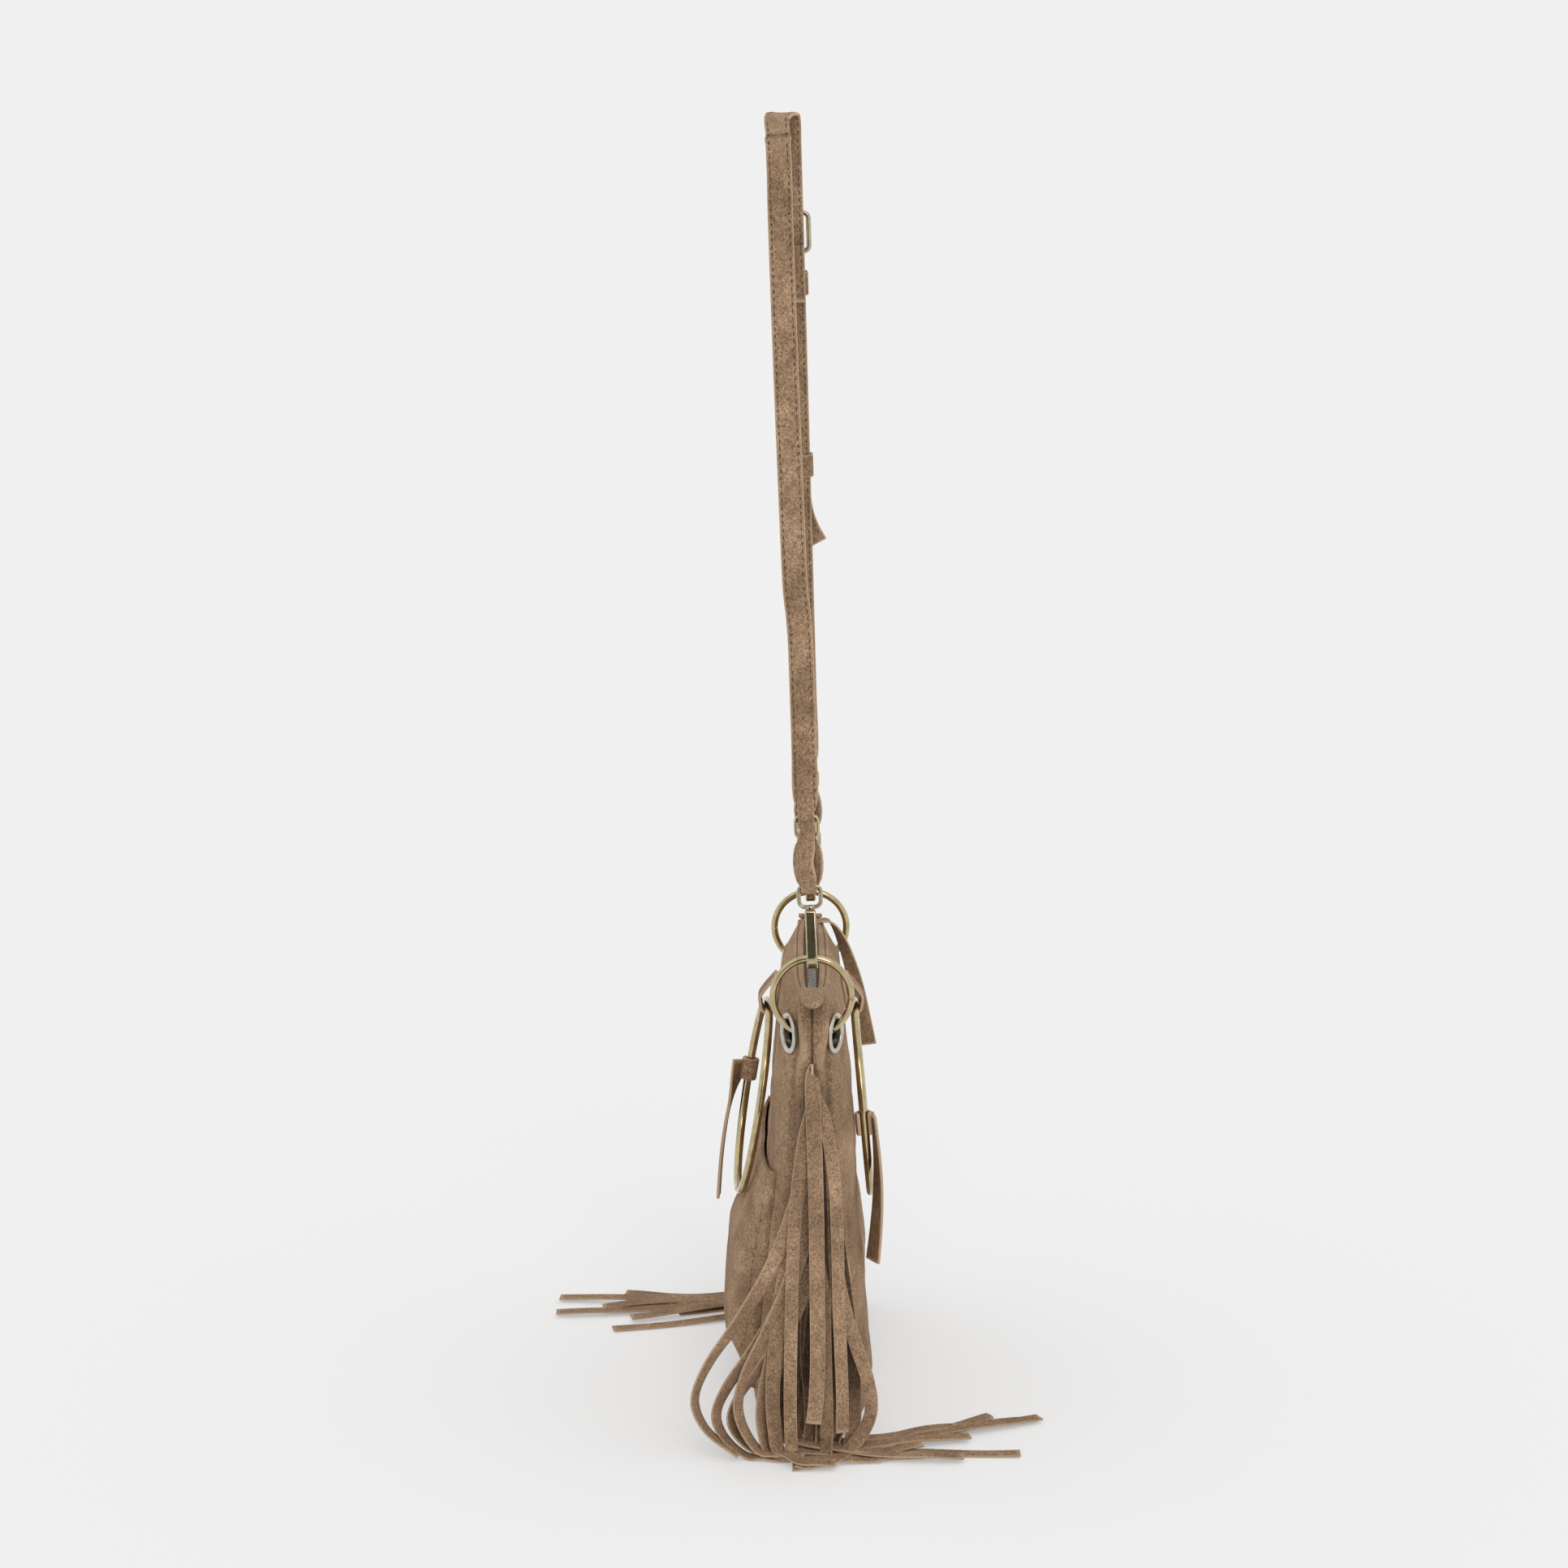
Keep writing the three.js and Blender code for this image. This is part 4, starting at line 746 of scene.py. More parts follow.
def pierce(obj, centre, normal, radius):
    """Cuts an eyelet's hole through a panel."""
    verts, faces = lathe([(0.01, -9), (radius, -9), (radius, 9), (0.01, 9)], centre, normal, 28)
    mesh = bpy.data.meshes.new("cutter")
    mesh.from_pydata((verts * MM).tolist(), [], [list(f) for f in faces])
    work = bmesh.new()
    work.from_mesh(mesh)
    bmesh.ops.remove_doubles(work, verts=work.verts, dist=5e-5)
    bmesh.ops.recalc_face_normals(work, faces=work.faces)
    work.to_mesh(mesh)
    work.free()
    cutter = bpy.data.objects.new("cutter", mesh)
    bpy.context.scene.collection.objects.link(cutter)
    modifier = obj.modifiers.new("Hole", "BOOLEAN")
    modifier.object = cutter
    modifier.solver = "EXACT"
    graph = bpy.context.evaluated_depsgraph_get()
    cut = bpy.data.meshes.new_from_object(obj.evaluated_get(graph), depsgraph=graph)
    if len(cut.vertices) < len(obj.data.vertices) / 2:
        raise RuntimeError(f"the eyelet hole did not cut in {obj.name}")
    obj.modifiers.remove(modifier)
    obj.data = cut
    bpy.data.objects.remove(cutter)


class BAG_OT_shell(bpy.types.Operator):
    """Builds the front and back panels with rolled tops and pierced eyelet holes, and the base"""

    bl_idname = "bag.shell"
    bl_label = "Shell"

    def execute(self, context):
        for later, (name, facing) in enumerate(FACES):
            seed = later + FRONT_SEED
            sheet = sheet_between(shell_grid(facing, seed, 0.0), shell_grid(facing, seed, SUEDE))
            panel = suede_piece(f"suede_{name}", [sheet], "bag", [f"{name}_panel"])
            for _, end in ENDS:
                centre, normal = eyelet_frame(facing, end)
                pierce(panel, centre, normal, EYELET_HOLE / 2 + 1.4)
        self.base()
        return {"FINISHED"}

    def base(self):
        count = 96
        turn = (np.arange(count) + 0.5) * 2 * math.pi / count
        rings = []
        for z, inset in BASE_RINGS:
            level = max(z, 0.1)
            px = (half_length(np.array(level)) - inset) * np.cos(turn)
            py = np.sign(np.sin(turn)) * side_at(px, np.full(count, level), inset)
            rings.append(np.stack([px, py, np.full(count, z)], -1))
        part = (np.concatenate(rings), tube_faces(len(rings), count, False))
        base = suede_piece("suede_base", [part], "bag", ["base_panel"])


def pocket_grid(offset):
    """Points of the patch pocket, which follows the front panel at its sides and bulges between them."""
    rows, cols = 44, 57
    up, a = np.meshgrid(np.linspace(0, 1, rows), np.linspace(0, 1, cols), indexing="ij")
    z = BASE_ROUND + (POCKET_TOP - BASE_ROUND) * up
    x = (a - 0.5) * POCKET_W
    side = 1 - (2 * a - 1) ** 4
    belly = np.minimum((1 - up) / POCKET_SLOPE, 1) ** POCKET_SAG
    lip = POCKET_MOUTH - POCKET_LIP * np.clip((up - 0.72) / 0.28, 0, 1) ** 2
    bulge = side * (lip + (POCKET_BULGE - POCKET_MOUTH) * belly)
    lie = np.clip(side * 3, 0, 1)
    y = side_at(x, z) + 0.35 + (POCKET_SEAT - 0.35) * lie + offset + bulge * np.minimum(up * POCKET_TOE, 1)
    y += crumple(x, z, FRONT_SEED) * (1 - 0.6 * lie)
    folds = 1.3 * np.sin(x / 13 + z / 40) * side * belly * np.sin(up * math.pi)
    folds += 0.9 * np.sin(z / 9 + x / 45) * belly * side
    y += np.where(up > 0.02, folds * 0.6, 0)
    return np.stack([x, -y, z], -1)


class BAG_OT_pocket(bpy.types.Operator):
    """Builds the bulging patch pocket with its turned hem"""

    bl_idname = "bag.pocket"
    bl_label = "Front pocket"

    def execute(self, context):
        outer, inner = pocket_grid(SUEDE), pocket_grid(0.0)
        pocket = suede_piece("suede_pocket", [sheet_between(outer, inner)], "bag", ["front_pocket"])
        hem = outer[-4] + np.array([0, -0.15, 0])
        sides = [outer[2:, 2] + np.array([0, -0.2, 0]), outer[2:, -3] + np.array([0, -0.2, 0])]
        stitches("pocket_stitches", [hem[2:-2], *sides], "bag", length=2.9, thread=suede_material())
        return {"FINISHED"}


# Zip

# How the pull strip falls over the back: across the bag, and up from the slider
PULL_DRAPE = (
    (-3.2, 0.2), (-1.0, -0.1), (3.2, 0.0), (7.6, 1.8), (13, 0.6),
    (18.8, -8), (24.8, -24), (29.8, -42), (34, -61), (38, -80),
)
SLIDER_OUTLINE = (
    (-4.5, -2.2), (-3, -3.6), (0, -4), (3, -3.2), (4.5, -1.8),
    (4.5, 1.8), (3, 3.2), (0, 4), (-3, 3.6), (-4.5, 2.2),
)


class BAG_OT_zip(bpy.types.Operator):
    """Builds the zip's tapes, teeth, slider, pull strip and end tabs"""

    bl_idname = "bag.zip"
    bl_label = "Zip"

    def execute(self, context):
        teeth = tooth_tree()
        for name, facing in FACES:
            self.tape(name, facing)
            self.teeth(name, facing, teeth)
        self.slider()
        self.tabs()
        return {"FINISHED"}

    def tape(self, name, facing):
        xs = np.linspace(-ZIP_L / 2, ZIP_L / 2, 95)
        deep = np.maximum(side_at(xs, np.full_like(xs, ZIP_Z), SUEDE + 2 * GAP), 2.9)
        rows = []
        for share, rise in ((0, 0.5), (0.5, 0.45), (1, 0.5)):
            ys = facing * (2.6 + (deep - 2.6) * share)
            rows.append(np.stack([xs, ys, np.full_like(xs, ZIP_Z + rise)], -1))
        under = [row - np.array([0, 0, 1.0]) for row in rows]
        part = sheet_between(np.array(rows), np.array(under))
        tape = plain_piece(f"tape_{name}", [part], tape_material(), "bag", f"zip_tape_{name}")

    def teeth(self, name, facing, tree):
        half = ZIP_L / 2 - 6
        shift = 0.75 * facing
        line = [(-half + shift, facing * 1.3, ZIP_Z), (half + shift, facing * 1.3, ZIP_Z)]
        values = {
            "Pitch": 3.0 * MM,
            "Length": 1.3 * MM,
            "Reach": 3.2 * MM,
            "Height": 2.2 * MM,
            "Material": steel(),
        }
        mesh = bake_nodes(line_object([line]), tree, values)
        tie(mesh, f"teeth_{name}", steel(), "bag", [f"zip_teeth_{name}"])

    def slider(self):
        z = ZIP_Z + 2.0
        lie = np.eye(4)
        lie[:3, 3] = (SLIDER_X, 0, z)
        arch = [
            (SLIDER_X + 3.4 * math.cos(t), 0, z + 0.4 + 3.9 * math.sin(t))
            for t in np.linspace(0, math.pi, 15)
        ]
        parts = [plate(SLIDER_OUTLINE, 1.2, 0.35, lie), wire(arch, Y, 0.9, False)]
        plain_piece("slider", parts, steel(), "zip_slider", "zip_slider")
        rows = []
        for i, (y, rise) in enumerate(PULL_DRAPE):
            turned = 1.25 * min(max(i - 3, 0) / 4, 1)
            point = (SLIDER_X + 2.0 * math.sin(turned), y, z + 2.0 + rise)
            width = 3.4 if i < 3 else PULL_W
            rows.append([*point, math.cos(turned), math.sin(turned), 0, width])
        strip = band(np.array(rows), 1.4, 2.0, cup=0.25)
        pull = suede_piece("pull_strip", [strip], "zip_slider", ["zip_pull_strip"])

    def tabs(self):
        half = 7.5
        length = 17.0
        turns = np.linspace(-math.pi / 2, math.pi / 2, 17)
        tip = [(length - half + half * math.cos(t), half * math.sin(t)) for t in turns]
        for place, end in ENDS:
            lie = np.eye(4)
            lie[:3, :3] = np.diag([end, end, 1.0])
            lie[:3, 3] = (end * (TOP_L / 2 - length + 6), 0, BAG_H + GAP + SUEDE / 2)
            verts, faces = plate([(0, -half), *tip, (0, half)], SUEDE, 0.5, lie)
            verts[:, 2] -= 7.0 * np.clip((np.abs(verts[:, 0]) - 100) / 12, 0, 1) ** 1.7
            part = (verts, faces, np.full(len(verts), 0.12))
            tab = suede_piece(f"end_tab_{place}", [part], "bag", [f"zip_end_tab_{place}"])


# Rings

def ring_point(radius, degrees):
    turn = math.radians(degrees)
    return np.array([0.0, radius * math.cos(turn), radius * math.sin(turn)])


def slanted(part, points, index, normal, sides=18):
    """Cuts one end of a wire square to a given direction."""
    verts, faces = part
    count = len(points)
    ring = slice((index % count) * sides, (index % count + 1) * sides)
    along = tangents(points)[index]
    gap = (points[index] - verts[ring]) @ normal / (along @ normal)
    verts[ring] += along[None] * gap[:, None]
    return verts, faces


class BAG_OT_rings(bpy.types.Operator):
    """Builds the eyelets, the gate rings at both ends and the large face rings"""

    bl_idname = "bag.rings"
    bl_label = "Rings and eyelets"

    def execute(self, context):
        for place, end in ENDS:
            for name, facing in FACES:
                self.eyelet(place, end, name, facing)
            self.gate_ring(place, end)
        for name, facing in FACES:
            self.face_ring(name, facing)
        return {"FINISHED"}

    def eyelet(self, place, end, name, facing):
        centre, normal = eyelet_frame(facing, end)
        inner = EYELET_HOLE / 2 + 0.3
        flange = EYELET_FLANGE / 2
        back = -SUEDE - 2 * GAP
        lip = np.linspace(0.2, math.pi - 0.2, 9)
        profile = [(inner, back - 0.6), (inner, 0.2)]
        profile += [(inner + 1.75 - 1.75 * math.cos(t), 0.3 + 1.5 * math.sin(t)) for t in lip]
        profile += [(flange, 0.35), (flange - 0.1, 0.05), (inner + 0.9, 0.05), (inner + 0.9, back)]
        profile += [(flange, back), (flange, back - 0.7), (inner + 0.4, back - 0.9)]
        part = lathe(profile, centre, normal)
        label = f"{name}_{place}"
        plain_piece(f"grommet_{label}", [part], steel(), "bag", f"eyelet_{label}")

    def gate_ring(self, place, end):
        spin = np.diag([float(end), float(end), 1.0])
        at = np.array([end * RING_X, 0, RING_Z])
        slack = math.degrees(GATE_GAP / RING_MEAN)

        def ring_arc(a, b, steps):
            return np.array([ring_point(RING_MEAN, d) for d in np.linspace(a, b, steps)]) @ spin.T + at

        body = ring_arc(GATE_TO + slack * 0.35, GATE_FROM + 360 - slack, 110)
        gate = ring_arc(GATE_FROM, GATE_TO - slack * 0.15, 24)
        swing = unit(gate[-1] - gate[0])
        ring = slanted(wire(body, X, RING_WIRE / 2, False, 18), body, 0, swing)
        cuff = ring_arc(GATE_FROM - 9, GATE_FROM - slack - 0.5, 6)
        collar = wire(cuff, X, RING_WIRE / 2 + 0.25, False, 18)
        ring_body = f"end_ring_{place}"
        plain_piece(f"gate_ring_{place}", [ring, collar], brass(), ring_body, ring_body)
        pin_at = ring_point(RING_MEAN, GATE_FROM + 4.5) @ spin.T + at
        profile = [(0.01, -2.35), (0.7, -2.35), (0.85, -2.2), (0.85, 2.2), (0.7, 2.35), (0.01, 2.35)]
        pin = lathe(profile, pin_at, X, 14)
        leaf = slanted(wire(gate, X, RING_WIRE / 2, False, 18), gate, -1, swing)
        gate_name = f"ring_gate_{place}"
        plain_piece(gate_name, [leaf, pin], brass(), gate_name, f"end_ring_gate_{place}")

    def face_ring(self, name, facing):
        lean = math.radians(FACE_LEAN[facing]) * facing
        yaw = math.radians(FACE_YAW[facing])
        turn = np.array(Matrix.Rotation(lean, 3, "X") @ Matrix.Rotation(yaw, 3, "Z"))
        at = np.array([0, facing * FACE_Y, FACE_TOP])
        turns = np.linspace(0, 2 * math.pi, 160, endpoint=False)
        circle = np.array([(FACE_MEAN * math.cos(t), 0, FACE_MEAN * (math.sin(t) - 1)) for t in turns])
        ring = wire(circle @ turn.T + at, turn @ Y, FACE_WIRE / 2, True, 20)
        ring_body = f"face_ring_{name}"
        plain_piece(f"big_ring_{name}", [ring], brass(), ring_body, ring_body)
        self.loop(name, facing)
        self.tail(name, facing, turn, at)

    def loop(self, name, facing):
        radius = FACE_WIRE / 2 + 1.2 + SUEDE / 2
        top = FACE_TOP + 19.0
        waist = FACE_TOP + 6.3
        seat = float(half_depth(top)) + GAP / 2 + GAP + SUEDE / 2
        turns = np.linspace(math.pi, 2 * math.pi, 11)
        under = [(FACE_Y + radius * math.cos(t), FACE_TOP + radius * math.sin(t)) for t in turns]
        path = [(seat, top), (FACE_Y - radius - 0.4, waist), *under]
        path += [(FACE_Y + radius + 0.2, waist), (seat + SUEDE + GAP, top)]
        rows = np.array([[0, facing * d, z, 1, 0, 0, 16] for d, z in path])
        part = band(rows, SUEDE, 1.6)
        loop = suede_piece(f"ring_loop_suede_{name}", [part], "bag", [f"ring_loop_{name}"])
        outside = facing * (seat + SUEDE + GAP + SUEDE / 2 + 0.1)
        across = [(x, outside, top - 2.6) for x in np.linspace(-6.4, 6.4, 8)]
        stitches(f"loop_stitches_{name}", [across], "bag", pitch=3.0, length=2.2)

    def tail(self, name, facing, turn, at):
        radius = FACE_WIRE / 2 + 0.9 + SUEDE / 2
        wrap = []
        for t in np.linspace(0.25 * math.pi, 1.75 * math.pi, 15):
            out = facing * (FACE_MEAN + radius * math.cos(t))
            point = np.array([out, facing * radius * math.sin(t), -FACE_MEAN])
            wrap.append([*(turn @ point + at), *(turn @ Z), TAIL_W])
        hang = []
        for s in np.linspace(0, 1, 9):
            plumb = TAIL_L * s * 0.09 if facing > 0 else 0
            off = facing * (radius + 1.7 + 3 * math.sin(s * math.pi) - plumb)
            point = np.array([facing * FACE_MEAN, off, -FACE_MEAN + TAIL_W / 3 - s * TAIL_L])
            turned = (0.1 + 0.5 * s) if facing > 0 else max(0.85 - 2.6 * s, 0.06)
            across = (math.cos(turned), facing * math.sin(turned), 0)
            hang.append([*(turn @ point + at), *across, TAIL_W - 1.2 * s])
        parts = [band(np.array(wrap), SUEDE, 1.6), band(np.array(hang), SUEDE, 2.5, cup=0.3)]
        tail = suede_piece(f"tail_{name}", parts, f"face_ring_{name}", [f"tail_strap_{name}"])


# Strap

def run(end):
    foot = np.array([end * RING_X, 0, RING_TOP])
    top = APEX + np.array([0, STRAP_SKEW if end < 0 else 0, 0])
    along = unit(top - foot)
    across = unit(np.cross(along, np.array([end, 0.0, 0.0])))
    return foot, along, across, np.cross(across, along), float(np.linalg.norm(top - foot))


def on_run(end, rows, flip=1):
    foot, along, across, out, _ = run(end)
    made = []
    for h, o, w, *aside in rows:
        point = foot + along * h + out * o + Y * (aside[0] if aside else 0)
        made.append([*point, *(across * flip), w])
    return np.array(made)


def run_matrix(end):
    foot, along, across, out, _ = run(end)
    made = np.eye(4)
    made[:3, 0], made[:3, 1], made[:3, 2], made[:3, 3] = out, across, along, foot
    return made


def placed(part, matrix):
    verts, faces = part[0], part[1]
    return (np.asarray(verts) @ matrix[:3, :3].T + matrix[:3, 3], faces, *part[2:])


def half_turn(height, bend, centre, width, sign):
    turns = np.linspace(math.pi, 2 * math.pi, 9)
    return [(height + sign * bend * math.sin(t), centre + bend * math.cos(t), width) for t in turns]


def strap_end():
    """The end of a strap: down inside, round the oval ring and up again."""
    inner = -STRAP_T - GAP
    join = SRING_TOP + FOLD_TAPER
    fold = SRING_WIRE / 2 + GAP + STRAP_T / 2
    back = [(SRING_TOP + FOLD_BACK, inner, STRAP_W), (join, inner, STRAP_W)]
    return [*back, *half_turn(SRING_TOP, fold, 0, NECK_W, 1), (join, 0, STRAP_W)]


def link_bend(centre, start):
    """Half a turn of a link loop round a bar."""
    turns = start + np.linspace(0, math.pi, 9)
    return [(LINK_BEND * math.cos(t), centre + LINK_BEND * math.sin(t), NECK_W) for t in turns]


def link_side(aside):
    """One side of a link loop, from the hook's eye up to the oval ring."""
    made = []
    for s in (0.2, 0.35, 0.5, 0.65, 0.8):
        width = NECK_W + (STRAP_W - NECK_W) * math.sin(s * math.pi) ** 0.7
        made.append((aside, EYE_BAR + LINK_H * s, width))
    return made


class BAG_OT_strap(bpy.types.Operator):
    """Builds the two strap lengths with their stitching, the keepers and the folded link loops"""

    bl_idname = "bag.strap"
    bl_label = "Shoulder strap"

    def execute(self, context):
        long_rows, short_rows = self.long_rows(), self.short_rows()
        long_part = self.creased(*band(long_rows, STRAP_T, STRAP_STEP))
        short_part = band(short_rows, STRAP_T, STITCH_STEP)
        long_strap = suede_piece("strap_long_suede", [long_part], "bag", ["strap_long"])
        short_strap = suede_piece("strap_short_suede", [short_part], "bag", ["strap_short"])
        for name, rows in (("long", long_rows), ("short", short_rows)):
            lines = []
            for aside in (-5.5, 5.3):
                for lift in (-1, 1):
                    lines.append(band_line(rows, aside, lift * (STRAP_T / 2 - 0.1), STITCH_STEP, (36, 6)))
            stitches(f"strap_{name}_stitches", lines, "bag", length=3.1, thick=0.8, height=0.5)
        round(band_length(long_rows), 3)
        round(band_length(short_rows), 3)
        self.keeper("keeper_fixed", 94.0, "bag")
        self.keeper("keeper_sliding", 207.0, "keeper_sliding")
        for place, end in ENDS:
            self.link(place, end)
        return {"FINISHED"}

    def creased(self, verts, faces, tone):
        """Paints light on the strap's top and paints shade in the pinched crease beside it, on the near
        side.
        """
        near_side = np.clip((verts[:, 0] + 4) / 8, 0, 1)
        top_painted_light = np.clip((verts[:, 2] - CREASE_Z + 16) / 20, 0, 1)
        slant = verts[:, 2] - CREASE_Z - 0.14 * (verts[:, 1] - APEX[1])
        crease_painted_shade = np.exp(-((slant / 1.1) ** 2)) - 0.6 * np.exp(-(((slant - 2.6) / 1.2) ** 2))
        return verts, faces, np.maximum(tone, 0.3 * top_painted_light * near_side) - 0.34 * crease_painted_shade * near_side

    def long_rows(self):
        near, far = run(1)[4], run(-1)[4]
        rise = []
        for h in np.linspace(120, near - 36, 26):
            rise.append((h, 0.5 * math.sin(h / 37), STRAP_W, self.kink(h, near)))
        crease = [
            (near - 24, 0, STRAP_W),
            (near - 17.5, 0.3, STRAP_W),
            (near - 14.6, 1.5, STRAP_W + 0.8),
            (near - 12.4, -0.6, STRAP_W - 0.6),
        ]
        up = on_run(1, strap_end() + rise + crease)
        over = []
        for i in (-2, -1, 0, 1, 2):
            bend = (-i * 3, STRAP_SKEW * (i + 2) / 4, -9 * (i / 4) ** 2)
            over.append([*(APEX + bend), 0, 1, 0, STRAP_W])
        down = [(h, LONG_OFFSET, STRAP_W) for h in np.linspace(far - 18, far - 234, 10)]
        tail = [
            (far - 246, LONG_OFFSET + 1.2, STRAP_W, 1.5),
            (far - 257, LONG_OFFSET + 3.6, STRAP_W, 5),
            (far - 266, LONG_OFFSET + 5.4, STRAP_W - 1, 10),
        ]
        return np.concatenate([up, np.array(over), on_run(-1, down + tail, -1)])

    def kink(self, h, length):
        """How far the strap steps aside where it has been bent."""
        share = min(max((h - 110) / (length - 150), 0), 1)
        return -1.1 * math.tanh((h - STRAP_KINK) / 10) * math.sin(math.pi * share) ** 0.5

    def short_rows(self):
        bar = run(-1)[4] - BUCKLE_DROP - BUCKLE_L
        fold = half_turn(bar, BUCKLE_FOLD, -BUCKLE_FOLD, STRAP_W, -1)[::-1]
        middle = [(h, 0, STRAP_W) for h in np.linspace(130, bar - 14, 9)]
        doubled = [(bar - 14, -2 * BUCKLE_FOLD, STRAP_W), (bar - FOLD_BACK, -2 * BUCKLE_FOLD, STRAP_W)]
        return on_run(-1, strap_end() + middle + fold + doubled)

    def keeper(self, name, drop, body):
        wall = 1.5
        bend = 1.2
        inner = -STRAP_T / 2 - GAP - wall / 2 + bend
        outer = LONG_OFFSET + STRAP_T / 2 + GAP + wall / 2 - bend
        half = STRAP_W / 2 + GAP + wall / 2 - bend
        loop = []
        corners = ((outer, half, 0), (inner, half, 90), (inner, -half, 180), (outer, -half, 270))
        for cx, cy, start in corners:
            for d in (0, 30, 60, 90):
                turn = math.radians(start + d)
                loop.append((cx + bend * math.cos(turn), cy + bend * math.sin(turn)))
        foot, along, across, out, length = run(-1)
        mid = foot + along * (length - drop - 7)
        rows = np.array([[*(mid + out * x + across * y), *along, 14] for x, y in loop])
        ring = suede_piece(f"{name}_suede", [closed_band(rows, wall)], body, [name])

    def link(self, place, end):
        path = link_bend(SRING_BAR, 0) + link_side(-LINK_BEND)[::-1]
        path += link_bend(EYE_BAR, math.pi) + link_side(LINK_BEND)
        foot, along, across, out, _ = run(end)
        rows = []
        for x, z, w in path:
            swell = math.sin(math.pi * min(max((z - EYE_BAR) / LINK_H, 0), 1))
            turned = LINK_TURN * swell
            aside = out * math.cos(turned) + across * math.sin(turned)
            forward = across * math.cos(turned) - out * math.sin(turned)
            rows.append([*(foot + aside * x * (1 + 0.8 * swell) + along * z), *forward, w])
        part = closed_band(np.array(rows), SUEDE)
        loop = suede_piece(f"link_{place}", [part], "bag", [f"link_loop_{place}"])


# Hooks and buckle

def arc(radius, start, stop, count):
    return [(radius * math.cos(t), radius * math.sin(t)) for t in np.linspace(start, stop, count)]


def hook_outline():
    """The hook from its side: down the back, round the bow to the throat, and up inside to the head."""
    inner = HOOK_BOW
    outer = HOOK_BOW + HOOK_BAR
    top = HOOK_H
    head = top - 2 * HOOK_BAR
    lip = HOOK_THROAT / 2
    points = [(outer - 1.2, top), (outer, top - 1.4), *arc(outer, 0, -math.pi, 21)]
    points += [(-outer, 3.4), (-outer + 0.9, lip), (-inner - 0.8, lip)]
    points += [(-inner, 3.6), *arc(inner, math.pi, 2 * math.pi, 17)]
    points += [(inner, head - 1), (inner - 1, head), (-inner, head)]
    points += [(-outer + 0.5, top - HOOK_BAR - 0.9), (-outer + 0.4, top - HOOK_BAR + 0.4), (-inner, top)]
    return points


def upright():
    """Turns an outline's plane from flat to standing across the run."""
    made = np.eye(4)
    made[:3, :3] = np.array([[1, 0, 0], [0, 0, -1], [0, 1, 0]], float)
    return made


